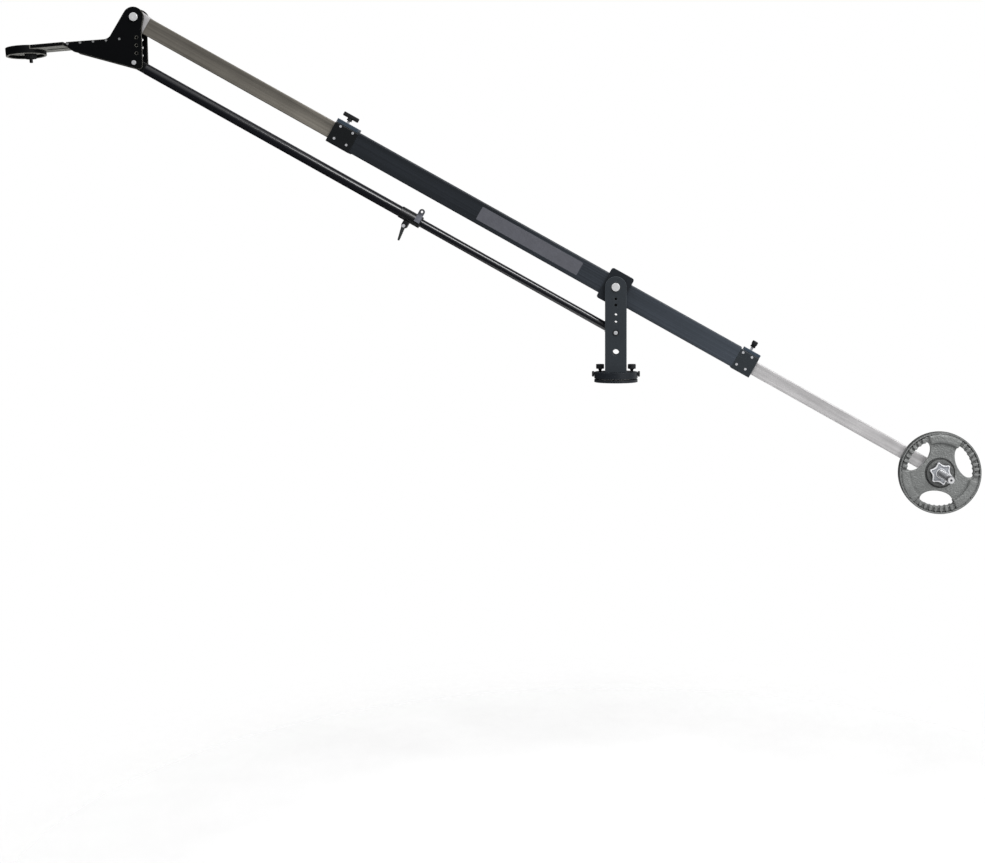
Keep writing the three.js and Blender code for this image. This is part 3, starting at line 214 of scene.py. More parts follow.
def plate(name, outline, holes, thick, edge):
    """A flat plate cut to an outline in mm, with softened edges. It rises from 0 to its thickness."""
    curve = bpy.data.curves.new(name, "CURVE")
    curve.dimensions, curve.fill_mode = "2D", "BOTH"
    curve.extrude = (thick / 2 - edge) / MM_PER_M
    curve.bevel_depth, curve.bevel_resolution, curve.offset = edge / MM_PER_M, 1, -edge / MM_PER_M
    for loop in [outline, *holes]:
        spline = curve.splines.new("POLY")
        spline.points.add(len(loop) - 1)
        for point, (x, y) in zip(spline.points, loop):
            point.co = (x / MM_PER_M, y / MM_PER_M, 0, 1)
        spline.use_cyclic_u = True
    drawn = bpy.data.objects.new(name, curve)
    mesh = bpy.data.meshes.new_from_object(drawn)
    bpy.data.objects.remove(drawn)
    mesh.transform(at(0, 0, thick / 2))
    cleaned(mesh)
    return piece_of(name, mesh)


def at(x, y, z):
    return Matrix.Translation((x / MM_PER_M, y / MM_PER_M, z / MM_PER_M))


def fitted(piece, material, body, slot, *nodes, crisp=True):
    """The piece with its finish, on its body, in the place of its plain solids."""
    piece.data.materials.clear()
    piece.data.materials.append(material)
    piece.data.shade_smooth()
    if crisp:
        piece.data.set_sharp_from_angle(angle=SHARP_ANGLE)
        even = piece.modifiers.new("even shading", "WEIGHTED_NORMAL")
        even.keep_sharp, even.weight = True, 80
    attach(piece, body)
    if nodes:
        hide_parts(*nodes)
    return piece


def painted(material, *nodes):
    """The finish of solids that show as they are."""
    for node in nodes:
        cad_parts[node].data.materials.clear()
        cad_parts[node].data.materials.append(material)


FLANGE_RADIUS, FLANGE_THICK = 63, 8
BOLT_BORE, BOLT_SIDEWAYS = 4.25, 48 * 0.7071
dark_anodised = finish("dark anodised", (30, 34, 39), 0.42, specular=0.22, edge_mark=(0.0015, 0.5),
                       edge_colour=(86, 92, 100))
zinc = finish("zinc plate", (198, 199, 202), 0.3, metal=0.3, edge_mark=(0.001, 0.3),
              edge_colour=(214, 214, 216), grain=(0.0004, 0.08))
nylon = finish("natural nylon", (212, 208, 198), 0.62, cloud=(0.03, 0.04), edge_mark=(0.001, 0.1),
               edge_colour=(228, 226, 220))
bolt_holes = [circle(BOLT_BORE, (BOLT_SIDEWAYS * x, BOLT_SIDEWAYS * y), 24)
              for x, y in [(1, 1), (-1, 1), (-1, -1), (1, -1)]]
flange = plate("flange", circle(FLANGE_RADIUS, steps=96), bolt_holes, FLANGE_THICK, edge=0.9)
fitted(flange, dark_anodised, "tripod_base", "dark_anodised", "base_flange")
painted(zinc, "pan_spindle")
painted(nylon, "pan_thrust_washer")

# Turntable and the block between the uprights
# The turntable is a second turned disc, black anodised, counterbored for the spindle's head and
# drilled for its knobs. A square block of the same stock sits on it and spaces the uprights.
ROUND_ENOUGH = math.radians(15)


def eased(points, radius, steps=3):
    """The same closed outline with its sharp corners rounded."""
    made = []
    for i, here in enumerate(points):
        here = Vector(here)
        before, after = Vector(points[i - 1]) - here, Vector(points[(i + 1) % len(points)]) - here
        if math.pi - before.angle(after) < ROUND_ENOUGH:
            made.append(tuple(here))
            continue
        cut = min(radius, before.length * 0.49, after.length * 0.49)
        first, last = here + before.normalized() * cut, here + after.normalized() * cut
        for step in range(steps + 1):
            share = step / steps
            made.append(tuple(first.lerp(here, share).lerp(here.lerp(last, share), share)))
    return made


def rectangle(half_wide, half_high, middle=(0, 0)):
    x, y = middle
    return [(x - half_wide, y - half_high), (x + half_wide, y - half_high),
            (x + half_wide, y + half_high), (x - half_wide, y + half_high)]


def stacked(start, *lengths):
    """The profile of a solid turned piece: where it starts, then each length's radius and end."""
    profile = [(0, start)]
    for radius, end in lengths:
        profile += [(radius, profile[-1][1]), (radius, end)]
    return [*profile, (0, profile[-1][1])]


def baked(piece):
    """The piece with its modifiers' result as its plain mesh."""
    mesh = bpy.data.meshes.new_from_object(piece.evaluated_get(bpy.context.evaluated_depsgraph_get()))
    piece.modifiers.clear()
    piece.data = mesh
    return piece


def turned(name, profile, steps=64, hollow=False):
    """A piece turned about its own axis from a profile of radius and height in mm."""
    shape = bmesh.new()
    spots = [2 * math.pi * i / steps for i in range(steps)]
    rings = []
    for radius, height in profile:
        across, up = radius / MM_PER_M, height / MM_PER_M
        if radius == 0:
            rings.append([shape.verts.new((0, 0, up))] * steps)
        else:
            rings.append([shape.verts.new((across * math.cos(a), across * math.sin(a), up)) for a in spots])
    pairs = list(zip(rings, rings[1:]))
    if hollow:
        pairs.append((rings[-1], rings[0]))
    for lower, upper in pairs:
        for i in range(steps):
            j = (i + 1) % steps
            corners = [lower[i], lower[j], upper[j], upper[i]]
            face = [v for k, v in enumerate(corners) if v not in corners[:k]]
            if len(face) > 2:
                shape.faces.new(face)
    mesh = bpy.data.meshes.new(name)
    shape.to_mesh(mesh)
    shape.free()
    cleaned(mesh)
    return piece_of(name, mesh)


def drill(radius, low, high, steps):
    return turned("drill", stacked(low, (radius, high)), steps)


def turn(axis, degrees):
    return Matrix.Rotation(math.radians(degrees), 4, axis)


def moved(piece, *places):
    """The piece's mesh taken through one or more places, the last named first."""
    for place in reversed(places):
        piece.data.transform(place)
        if place.determinant() < 0:
            piece.data.flip_normals()
    return piece


def carved(piece, *tools):
    """The piece with the tools cut out of it."""
    for tool in tools:
        cut = piece.modifiers.new(tool.name, "BOOLEAN")
        cut.operation, cut.solver, cut.object = "DIFFERENCE", "EXACT", tool
    baked(piece)
    for tool in tools:
        bpy.data.objects.remove(tool)
    return piece


TABLE_RADIUS, TABLE_FOOT, TABLE_TOP = 63, 10.6, 29.6
SPINDLE_BORE, HEAD_BORE, HEAD_FLOOR = 15.3, 24.3, 21.6
STEM_BORE, STEM_HOLE, RIM_HOLE = 3.3, (16, 32), (50.7, 65)
KNOB_REACH, RIM_KNOB_HEIGHT, SEAT_GAP = 46, 23.5, 0.3
FOOT_HALF, FOOT_REACH, FOOT_HEIGHT = 26, 34.6, 17
table_section = [(SPINDLE_BORE, TABLE_FOOT), (TABLE_RADIUS, TABLE_FOOT), (TABLE_RADIUS, TABLE_TOP),
                 (HEAD_BORE, TABLE_TOP), (HEAD_BORE, HEAD_FLOOR), (SPINDLE_BORE, HEAD_FLOOR)]
turntable = turned("pan_table", eased(table_section, 0.9, 2), steps=96, hollow=True)
drills = []
for side in (-1, 1):
    drills.append(moved(drill(STEM_BORE, *STEM_HOLE, 24), at(KNOB_REACH * side, 0, 0)))
    drills.append(moved(drill(STEM_BORE, *RIM_HOLE, 24), at(0, 0, RIM_KNOB_HEIGHT), turn("Y", 90 * side)))
fitted(carved(turntable, *drills), dark_anodised, "pan_head", "dark_anodised", "turntable")
foot = plate("foot_spacer", rectangle(FOOT_HALF, FOOT_REACH), [], FOOT_HEIGHT, edge=0.7)
fitted(moved(foot, at(0, 0, TABLE_TOP + SEAT_GAP)), dark_anodised, "pan_head", "dark_anodised", "foot_block")

# Knobs of the turntable
# Two round knobs stand on the turntable and two small ones on its rim, each a moulded black
# nylon grip with ribs, on a threaded stem. They hold the turntable, lock the pan and set its drag.


def joined(first, *others):
    """The pieces as one object, which keeps the first one's name."""
    shape = bmesh.new()
    for piece in [first, *others]:
        shape.from_mesh(piece.data)
    shape.to_mesh(first.data)
    shape.free()
    for piece in others:
        bpy.data.objects.remove(piece)
    return first


def shape_tree(name, *sizes, counts=(), switches=()):
    """An empty tree for one shape, with a named input for each of its sizes and for its finish."""
    tree = bpy.data.node_groups.new(name, "GeometryNodeTree")
    inputs = [("Geometry", "Geometry"), *[(label, "Float") for label in sizes],
              *[(label, "Int") for label in counts], *[(label, "Bool") for label in switches],
              ("Finish", "Material")]
    for label, kind in inputs:
        tree.interface.new_socket(label, in_out="INPUT", socket_type="NodeSocket" + kind)
    tree.interface.new_socket("Geometry", in_out="OUTPUT", socket_type="NodeSocketGeometry")
    return tree, tree.nodes.new("NodeGroupInput").outputs


def closed_tree(tree, sizes, shape):
    """Ends a tree: instances made real, and the finish set."""
    real = wired(tree, "GeometryNodeRealizeInstances", {"Geometry": shape})
    coated = wired(tree, "GeometryNodeSetMaterial", {
        "Geometry": real.outputs["Geometry"], "Material": sizes["Finish"]})
    wired(tree, "NodeGroupOutput", {"Geometry": coated.outputs["Geometry"]})
    return tree


def cylinder(tree, steps, radius, height):
    sizes = {"Vertices": steps, "Radius": radius, "Depth": height}
    return wired(tree, "GeometryNodeMeshCylinder", sizes).outputs["Mesh"]


def repeated(tree, points, shape, **turned_by):
    links = {"Points": points, "Instance": shape, **turned_by}
    return wired(tree, "GeometryNodeInstanceOnPoints", links).outputs["Instances"]


def grown(name, tree, values, points=()):
    """One run of a tree with its own values, as a plain mesh."""
    mesh = bpy.data.meshes.new(name)
    mesh.from_pydata([tuple(c / MM_PER_M for c in point) for point in points], [], [])
    piece = piece_of(name, mesh)
    run = piece.modifiers.new(tree.name, "NODES")
    run.node_group = tree
    for item in tree.interface.items_tree:
        if item.in_out == "INPUT" and item.name in values:
            run[item.identifier] = values[item.name]
    cleaned(baked(piece).data)
    return piece


def knob_ribs_tree():
    tree, sizes = shape_tree("Knob ribs", "Radius", "Rib", "Height", counts=["Count"])
    ring = wired(tree, "GeometryNodeMeshCircle", {"Vertices": sizes["Count"], "Radius": sizes["Radius"]})
    rib = cylinder(tree, 8, sizes["Rib"], sizes["Height"])
    return closed_tree(tree, sizes, repeated(tree, ring.outputs["Mesh"], rib))


RIB_SINK_SHARE, RIB_INSET = 0.55, 2.4
KNOB_SOFTNESS = 1.4
knob_ribs = knob_ribs_tree()
moulded_black = finish("moulded black", (22, 23, 25), 0.5, specular=0.28, cloud=(0.02, 0.12),
                       edge_mark=(0.001, 0.25), edge_colour=(70, 72, 76), grain=(0.0005, 0.3))


def hand_knob(name, profile, radius, low, high, ribs, rib):
    """A turned knob with upright ribs round its grip, which has a radius, a low and a high end."""
    body = turned(name, eased(profile, KNOB_SOFTNESS), 48)
    teeth = grown(name + "_ribs", knob_ribs, {
        "Radius": (radius - rib * RIB_SINK_SHARE) / MM_PER_M, "Count": ribs, "Rib": rib * 0.5 / MM_PER_M,
        "Height": (high - low - RIB_INSET) / MM_PER_M})
    return joined(body, moved(teeth, at(0, 0, (low + high) / 2)))


STEM_RADIUS = 3
HOLD_FOOT, HOLD_NECK, HOLD_LOW, HOLD_HIGH = 16.4, 29.9, 38.3, 51.9
HOLD_RADIUS, HOLD_NECK_RADIUS, HOLD_GRIP = 11.5, 5.9, 11.8
RIM_FOOT, RIM_LOW, RIM_HIGH = 51, 63.3, 69.7
RIM_KNOB_RADIUS, RIM_KNOB_GRIP = 8, 8.2
hold_profile = [(0, HOLD_FOOT), (STEM_RADIUS, HOLD_FOOT), (STEM_RADIUS, HOLD_NECK),
                (HOLD_NECK_RADIUS, HOLD_LOW), (HOLD_RADIUS, HOLD_LOW), (HOLD_RADIUS, HOLD_HIGH),
                (0, HOLD_HIGH)]
rim_profile = stacked(RIM_FOOT, (STEM_RADIUS, RIM_LOW), (RIM_KNOB_RADIUS, RIM_HIGH))
for side, name in ((-1, "hold_knob_left"), (1, "hold_knob_right")):
    knob = hand_knob("grip_of_" + name, hold_profile, HOLD_GRIP, HOLD_LOW, HOLD_HIGH, ribs=24, rib=1.2)
    fitted(moved(knob, at(KNOB_REACH * side, 0, 0)), moulded_black, name, "black_plastic", name)
for side, name in ((-1, "pan_lock_knob"), (1, "pan_drag_knob")):
    knob = hand_knob("grip_of_" + name, rim_profile, RIM_KNOB_GRIP, RIM_LOW, RIM_HIGH, ribs=20, rib=0.9)
    fitted(moved(knob, at(0, 0, RIM_KNOB_HEIGHT), turn("Y", 90 * side)), moulded_black, name,
           "black_plastic", name)

# Uprights
# Two flat aluminium plates with round tops, dark grey anodised, screwed to the block from below.
# They carry the arm's axle and the rod's pin, and have a sight hole and a row of adjusting holes.
UPRIGHT_INNER, UPRIGHT_THICK, UPRIGHT_HALF = 34.9, 10, 31
PIVOT_HEIGHT, ROD_PIVOT_HEIGHT = 275.5, 144.5
AXLE_BORE, PIN_BORE, ADJUST_BORE = 8.3, 5.3, 4
SIGHT_HOLE = (9.2, 88)
ADJUST_HEIGHTS = (242, 224, 196, 175)
HEAD_POCKET = stacked(-50, (14.6, -40.9))
STANDING, ACROSS = turn("X", 90), turn("X", -90)


def both_sides(inner, thick):
    """The name of each side of the crane, and where a standing plate of that thickness starts."""
    return (("near", -inner), ("far", inner + thick))


upright_grey = finish("grey anodised", (45, 50, 55), 0.44, specular=0.25, cloud=(0.25, 0.12),
                      edge_mark=(0.0018, 0.6), edge_colour=(112, 118, 124))
upright_foot = TABLE_TOP + SEAT_GAP
outline = [(-UPRIGHT_HALF, upright_foot), (UPRIGHT_HALF, upright_foot),
           *arc((0, PIVOT_HEIGHT), UPRIGHT_HALF, 0, 180, 40)]
bores = [circle(radius, (0, height), 36) for radius, height in [
    (AXLE_BORE, PIVOT_HEIGHT), (PIN_BORE, ROD_PIVOT_HEIGHT), SIGHT_HOLE,
    *[(ADJUST_BORE, height) for height in ADJUST_HEIGHTS]]]
for side, start in both_sides(UPRIGHT_INNER, UPRIGHT_THICK):
    blade = plate("blade_upright_" + side, outline, bores, UPRIGHT_THICK, edge=1.2)
    moved(blade, at(0, start, 0), STANDING)
    if side == "near":
        carved(blade, moved(turned("pocket", HEAD_POCKET), at(0, 0, PIVOT_HEIGHT), ACROSS))
    fitted(blade, upright_grey, "pan_head", "grey_anodised", "upright_" + side)

# Main axle, its nut, and the rod's lower pin
# A bright plated steel pin with a round head passes through both uprights and takes a hexagon
# nut on the far side. The rod's pin below it has small bright heads on black washers, and nylon
# spacers inside.


def turned_ring(name, inner, outer, low, high, soft=0.0, steps=64):
    """A turned ring or tube between two radii and two heights in mm, with its corners softened."""
    section = [(inner, low), (outer, low), (outer, high), (inner, high)]
    return turned(name, eased(section, soft) if soft else section, steps, hollow=True)


def hexagon(radius):
    return arc((0, 0), radius, 0, 300, 5)


AXLE_PROFILE = stacked(-50.2, (12, -41.2), (8, 61.2))
NUT_RADIUS, NUT_THICK, NUT_OUTER_FACE = 13.9, 13, 58.2
FOOT_PIN_PROFILE = stacked(-49.2, (5.6, -46.4), (5, 46.4), (5.6, 49.2))
PIN_WASHER_BORE, PIN_WASHER_RADIUS, PIN_WASHER_FACES = 5.2, 9, (45.2, 46.4)
bright_plate = finish("bright plate", (228, 228, 230), 0.22, metal=0.35, cloud=(0.02, 0.03),
                      edge_mark=(0.001, 0.2), edge_colour=(240, 240, 242), grain=(0.0004, 0.05))
axle = moved(turned("pivot_axle", eased(AXLE_PROFILE, 1.3)), at(0, 0, PIVOT_HEIGHT), ACROSS)
fitted(axle, bright_plate, "pan_head", "bright_steel", "main_axle")
nut = plate("hexagon_nut", hexagon(NUT_RADIUS), [circle(AXLE_BORE)], NUT_THICK, edge=1.2)
nut = moved(nut, at(0, NUT_OUTER_FACE, PIVOT_HEIGHT), STANDING)
fitted(nut, zinc, "pan_head", "plated_steel", "axle_nut")
pin = moved(turned("rod_foot_pin", eased(FOOT_PIN_PROFILE, 0.8), 48), at(0, 0, ROD_PIVOT_HEIGHT), ACROSS)
fitted(pin, zinc, "pan_head", "plated_steel", "rod_pivot_pin")
for side, sign in (("near", -1), ("far", 1)):
    low, high = sorted(sign * face for face in PIN_WASHER_FACES)
    washer = turned_ring("pin_washer_" + side, PIN_WASHER_BORE, PIN_WASHER_RADIUS, low, high, 0.3, 40)
    fitted(moved(washer, at(0, 0, ROD_PIVOT_HEIGHT), ACROSS), moulded_black, "pan_head", "black_plastic")
painted(nylon, "rod_spacer_near", "rod_spacer_far")

# Main tube with its bush, cheek plates and bare panels
# An extruded box tube, dark anodised with fine lengthwise die lines. Cheek plates and a nylon
# bush stiffen it where the axle crosses, and a thin satin panel is stuck to each side.
ARM_PITCH_DEGREES = 29.25
ARM_PITCH = math.radians(ARM_PITCH_DEGREES)
TUBE_DROP = 5.5
arm_frame = at(0, 0, PIVOT_HEIGHT) @ turn("Y", ARM_PITCH_DEGREES)
tube_frame = arm_frame @ at(0, 0, -TUBE_DROP)
ALONG = Matrix(((0, 0, 1, 0), (1, 0, 0, 0), (0, 1, 0, 0), (0, 0, 0, 1)))


def spot(tree, **parts):
    return wired(tree, "ShaderNodeCombineXYZ", parts).outputs["Vector"]


def shifted(tree, shape, **place):
    return wired(tree, "GeometryNodeTransform", {"Geometry": shape, **place}).outputs["Geometry"]


def together(tree, *shapes):
    both = tree.nodes.new("GeometryNodeJoinGeometry")
    for shape in shapes:
        tree.links.new(shape, both.inputs[0])
    return both.outputs["Geometry"]


def rounded_line(tree, width, height, corner, steps):
    sizes = {"Width": width, "Height": height}
    line = wired(tree, "GeometryNodeCurvePrimitiveQuadrilateral", sizes, mode="RECTANGLE")
    links = {"Curve": line.outputs["Curve"], "Count": steps, "Radius": corner}
    return wired(tree, "GeometryNodeFilletCurve", links, mode="POLY").outputs["Curve"]


def raised(tree, line, height):
    """A closed shape raised from a flat outline."""
    face = wired(tree, "GeometryNodeFillCurve", {"Curve": line}).outputs["Mesh"]
    links = {"Mesh": face, "Offset Scale": height, "Individual": False}
    sides = wired(tree, "GeometryNodeExtrudeMesh", links).outputs["Mesh"]
    return together(tree, sides, wired(tree, "GeometryNodeFlipFaces", {"Mesh": face}).outputs["Mesh"])


def cut_out(tree, shape, tool):
    links = {"Mesh 1": shape, "Mesh 2": tool}
    settings = {"operation": "DIFFERENCE", "solver": "EXACT"}
    return wired(tree, "GeometryNodeMeshBoolean", links, **settings).outputs["Mesh"]


def box_tube_tree():
    tree, sizes = shape_tree("Drawn box tube", "Width", "Height", "Wall", "Corner", "Start", "End",
                             "Bore", "Bore Reach", "Bore Rise", switches=["Bored"])
    walls = worked(tree, "MULTIPLY", sizes["Wall"], 2.0)
    outer = rounded_line(tree, sizes["Width"], sizes["Height"], sizes["Corner"], 6)
    inner = rounded_line(tree, worked(tree, "SUBTRACT", sizes["Width"], walls),
                         worked(tree, "SUBTRACT", sizes["Height"], walls),
                         worked(tree, "MULTIPLY", sizes["Corner"], 0.5), 6)
    drawn = raised(tree, together(tree, outer, inner), worked(tree, "SUBTRACT", sizes["End"], sizes["Start"]))
    merged = wired(tree, "GeometryNodeMergeByDistance", {"Geometry": drawn, "Distance": 1e-6})
    tube = shifted(tree, merged.outputs["Geometry"], Translation=spot(tree, Z=sizes["Start"]))
    bore = shifted(tree, cylinder(tree, 64, sizes["Bore"], 0.2), Rotation=(0.0, math.pi / 2, 0.0),
                   Translation=spot(tree, Y=sizes["Bore Rise"], Z=sizes["Bore Reach"]))
    choice = wired(tree, "GeometryNodeSwitch", {
        "Switch": sizes["Bored"], "False": tube, "True": cut_out(tree, tube, bore)}, input_type="GEOMETRY")
    return closed_tree(tree, sizes, choice.outputs["Output"])


def drawn_lines_group():
    group, sizes, end = effect("Drawn lines", "Lines", Pitch=0.0, Fineness=300.0, Length=1.5)
    laid = wired(group, "ShaderNodeMapping", {
        "Vector": own_place(group), "Rotation": spot(group, Y=sizes["Pitch"])})
    stretch = spot(group, X=sizes["Length"], Y=sizes["Fineness"], Z=sizes["Fineness"])
    stretched = of_vectors(group, "MULTIPLY", laid.outputs["Vector"], stretch)
    group.links.new(noise(group, stretched, 1.0, 3.0, 0.55), end)
    return group


box_tube, drawn_lines = box_tube_tree(), drawn_lines_group()


def colour_of(material):
    """The socket that takes a finish's colour, and the one that feeds it."""
    socket = material.node_tree.nodes["Principled BSDF"].inputs["Base Color"]
    return socket, socket.links[0].from_socket


def dimmed(material, share):
    """The finish with its colour taken down to a share."""
    socket, before = colour_of(material)
    material.node_tree.links.new(scaled(material.node_tree, before, share), socket)
    return material


def darkened(material, mask, lowest):
    """The finish taken down towards a share of its colour where a mask is 1."""
    return dimmed(material, ranged(material.node_tree, mask, 0.0, 1.0, 1.0, lowest))


def deeper_towards(material, axis, first, last, lowest):
    """Deepens a finish evenly from one place along an axis of the frame, in metres, to another."""
    tree = material.node_tree
    along = wired(tree, "ShaderNodeSeparateXYZ", {"Vector": own_place(tree)}).outputs[axis]
    return darkened(material, ranged(tree, along, first, last, 0.0, 1.0), lowest)


def drawn_finish(material, low, high, fineness=300.0, length=1.5, depth=0.0):
    """Adds lengthwise lines, along the arm, to a finish: in its tone and, with a depth, its surface."""
    tree = material.node_tree
    lines = placed(tree, drawn_lines, Pitch=-ARM_PITCH, Fineness=fineness, Length=length)
    dimmed(material, ranged(tree, lines, NOISE_LOW, NOISE_HIGH, low, high))
    if depth:
        bumped(material, lines, 0.6, depth)
    return material


def box(half_wide, half_high, corner, middle=(0, 0)):
    """A rectangle's outline in mm with rounded corners, from its half sizes."""
    return eased(rectangle(half_wide, half_high, middle), corner, 5)


CHEEK_INNER, CHEEK_THICK, BUSH_BORE = 25.3, 6, 12.3
PANEL_INNER, PANEL_THICK = 25.02, 0.33
cheek_outline = box(36.5, 48.75, 8, (0, -3.2))
panel_outline = box(166, 20.5, 3, (-282, 0))
tube_black = drawn_finish(finish("tube anodised", (58, 64, 72), 0.36, specular=0.28, cloud=(0.3, 0.12),
                                 edge_mark=(0.0012, 0.4), edge_colour=(104, 110, 118)),
                          0.75, 1.25, depth=0.00005)
# Painted shade: the main tube is darkened towards its front end, where less of the lamps' light falls.
deeper_towards(tube_black, "X", 0.3, -0.35, 0.34)
tube = grown("boom_tube", box_tube, {
    "Width": 0.05, "Height": 0.065, "Wall": 0.004, "Corner": 0.004, "Start": -0.862, "End": 0.402,
    "Bore": BUSH_BORE / MM_PER_M, "Bore Reach": 0.0, "Bore Rise": TUBE_DROP / MM_PER_M, "Bored": True,
    "Finish": tube_black})
fitted(moved(tube, tube_frame, ALONG), tube_black, "arm", "dark_anodised", "main_tube")
for side, start in both_sides(CHEEK_INNER, CHEEK_THICK):
    cheek = plate("stiffener_cheek_" + side, cheek_outline, [circle(BUSH_BORE)], CHEEK_THICK, edge=1.0)
    fitted(moved(cheek, arm_frame, at(0, start, 0), STANDING), dark_anodised, "arm", "dark_anodised",
           "cheek_" + side)
painted(nylon, "pivot_bush", "side_washer_near", "side_washer_far")
panel_satin = finish("bare panel", (86, 87, 94), 0.5, specular=0.3, cloud=(0.02, 0.08), edge_mark=(0.0006, 0.2),
                     edge_colour=(116, 118, 124), grain=(0.0008, 0.4))
for side, start in both_sides(PANEL_INNER, PANEL_THICK):
    panel = plate("bare_panel_" + side, panel_outline, [], PANEL_THICK, edge=0.1)
    fitted(moved(panel, tube_frame, at(0, start, 0), STANDING), panel_satin, "arm", "dark_anodised")

# Clamps at the ends of the main tube, with their T knobs
# Machined aluminium blocks, black anodised, slide on the inner tubes. Each has a cap plate held by
# its knob's stud, and four bright socket screws in each side. The knobs are moulded black T bars.


def screw_tree():
    tree, sizes = shape_tree("Socket screws", "Radius", "Height", "Socket")
    up = spot(tree, Z=worked(tree, "MULTIPLY", sizes["Height"], 0.5))
    head = cylinder(tree, 24, sizes["Radius"], sizes["Height"])
    key = shifted(tree, cylinder(tree, 6, sizes["Socket"], sizes["Height"]), Translation=up)
    seated = shifted(tree, cut_out(tree, head, key), Translation=up)
    spots = wired(tree, "GeometryNodeMeshToPoints", {"Mesh": sizes["Geometry"]}).outputs["Points"]
    return closed_tree(tree, sizes, repeated(tree, spots, seated))


SCREW_RISE = 1.5
SIDES = (("near", Matrix.Identity(4)), ("far", Matrix.Scale(-1, 4, (0, 1, 0))))
socket_screws = screw_tree()


def screws(name, spots, radius, material, body, *places):
    """Socket screws at a list of spots in mm on a flat face."""
    heads = grown(name, socket_screws, {
        "Radius": radius / MM_PER_M, "Height": SCREW_RISE / MM_PER_M, "Socket": radius * 0.5 / MM_PER_M,
        "Finish": material}, [(x, y, 0) for x, y in spots])
    return fitted(moved(heads, *places), material, body, "plated_steel")


CLAMP_HALF, CAP_HALF, CAP_FOOT, CAP_BORE, CLAMP_SCREW = 26, 22, 28.8, 4.3, 3.6
T_BAR, T_BAR_HEIGHT, T_BAR_FOOT, T_STUD_RADIUS, T_STUD_TOP = box(24.5, 7, 6.6), 12.6, 53.8, 4, 46.9
T_NECK_PROFILE = [(0, 46.8), (8, 46.8), (7, 54.2), (0, 54.2)]
clamp_outline = box(CLAMP_HALF, 32, 4, (0, -3.5))
# The blocks' and caps' lighter edges are partly edge wear and partly a painted highlight.
block_black = finish("block anodised", (42, 47, 51), 0.4, specular=0.25, edge_mark=(0.0018, 0.6),
                     edge_colour=(92, 100, 108))
# Painted shade: the blocks are darkened towards the front, where less of the lamps' light falls.
deeper_towards(block_black, "X", 0.3, -0.45, 0.24)
cap_blue = finish("cap anodised", (54, 66, 78), 0.38, specular=0.35, edge_mark=(0.0022, 0.8),
                  edge_colour=(142, 152, 162))
for part, ends, bore, cap_ends, cap_thick, knob_reach, stud_foot, bar_turn, screw_reaches, screw_heights in (
        ("front", (-937.3, -862.3), box(19.4, 25.4, 3), (-937.3, -868.8), 11, -909.8, 25.4, 0,
         (-918.1, -878), (21.7, -17.3)),
        ("rear", (402.3, 461.8), box(15.4, 20.4, 3, (0, -4.5)), (409.8, 461.8), 8.5, 430.6, 15.9, 90,
         (412.2, 441), (20.6, -18.4))):
    block = plate("sliding_block_" + part, clamp_outline, [bore], ends[1] - ends[0], edge=1.2)
    fitted(moved(block, tube_frame, at(ends[0], 0, 0), ALONG), block_black, "arm", "dark_anodised",
           "clamp_" + part)
    cap_outline = box((cap_ends[1] - cap_ends[0]) / 2, CAP_HALF, 1.5, (sum(cap_ends) / 2, 0))
    cap_bore = circle(CAP_BORE, (knob_reach, 0), 24)
    cap = plate("cap_plate_" + part, cap_outline, [cap_bore], cap_thick, edge=1.0)
    fitted(moved(cap, tube_frame, at(0, 0, CAP_FOOT)), cap_blue, "arm", "dark_anodised",
           "clamp_" + part + "_cap")
    spots = [(reach, height) for height in screw_heights for reach in screw_reaches]
    for side, facing in SIDES:
        screws("clamp_screws_" + part + "_" + side, spots, CLAMP_SCREW, zinc, "arm",
               tube_frame, facing, at(0, -CLAMP_HALF, 0), STANDING)
    bar = moved(plate("t_bar", T_BAR, [], T_BAR_HEIGHT, edge=2.6), at(0, 0, T_BAR_FOOT))
    knob = joined(bar, turned("t_neck", eased(T_NECK_PROFILE, 0.6), 40))
    knob.name = "t_handle_" + part
    stud = turned("t_stud_" + part, stacked(stud_foot, (T_STUD_RADIUS, T_STUD_TOP)), 32)
    knob_place = tube_frame @ at(knob_reach, 0, 0) @ turn("Z", bar_turn)
    fitted(moved(knob, knob_place), moulded_black, "knob_" + part, "black_plastic", "knob_" + part)
    fitted(moved(stud, knob_place), zinc, "knob_" + part, "plated_steel")

# Front tube and the lug in its end
# A smaller box tube of bare drawn aluminium, grey with long streaks, slides in the front clamp.
# Its end holds a round-nosed block of brighter aluminium that carries the head's pin.
HEAD_REACH = 1592
LUG_WIDTH, LUG_RADIUS, LUG_START = 37, 25, -1551
bare_drawn = drawn_finish(finish("bare drawn aluminium", (108, 104, 97), 0.44, metal=0.2, specular=0.3,
                                 cloud=(0.2, 0.2), edge_mark=(0.001, 0.3), edge_colour=(150, 148, 142),
                                 grain=(0.0006, 0.04)),
                          0.62, 1.38, fineness=75.0, length=1.6)
pale_brushed = drawn_finish(finish("pale brushed aluminium", (226, 224, 225), 0.34, metal=0.3, specular=0.4,
                                   cloud=(0.08, 0.08), edge_mark=(0.001, 0.3), edge_colour=(226, 225, 222),
                                   grain=(0.0006, 0.02)),
                            0.84, 1.14, fineness=120.0, length=5.0)
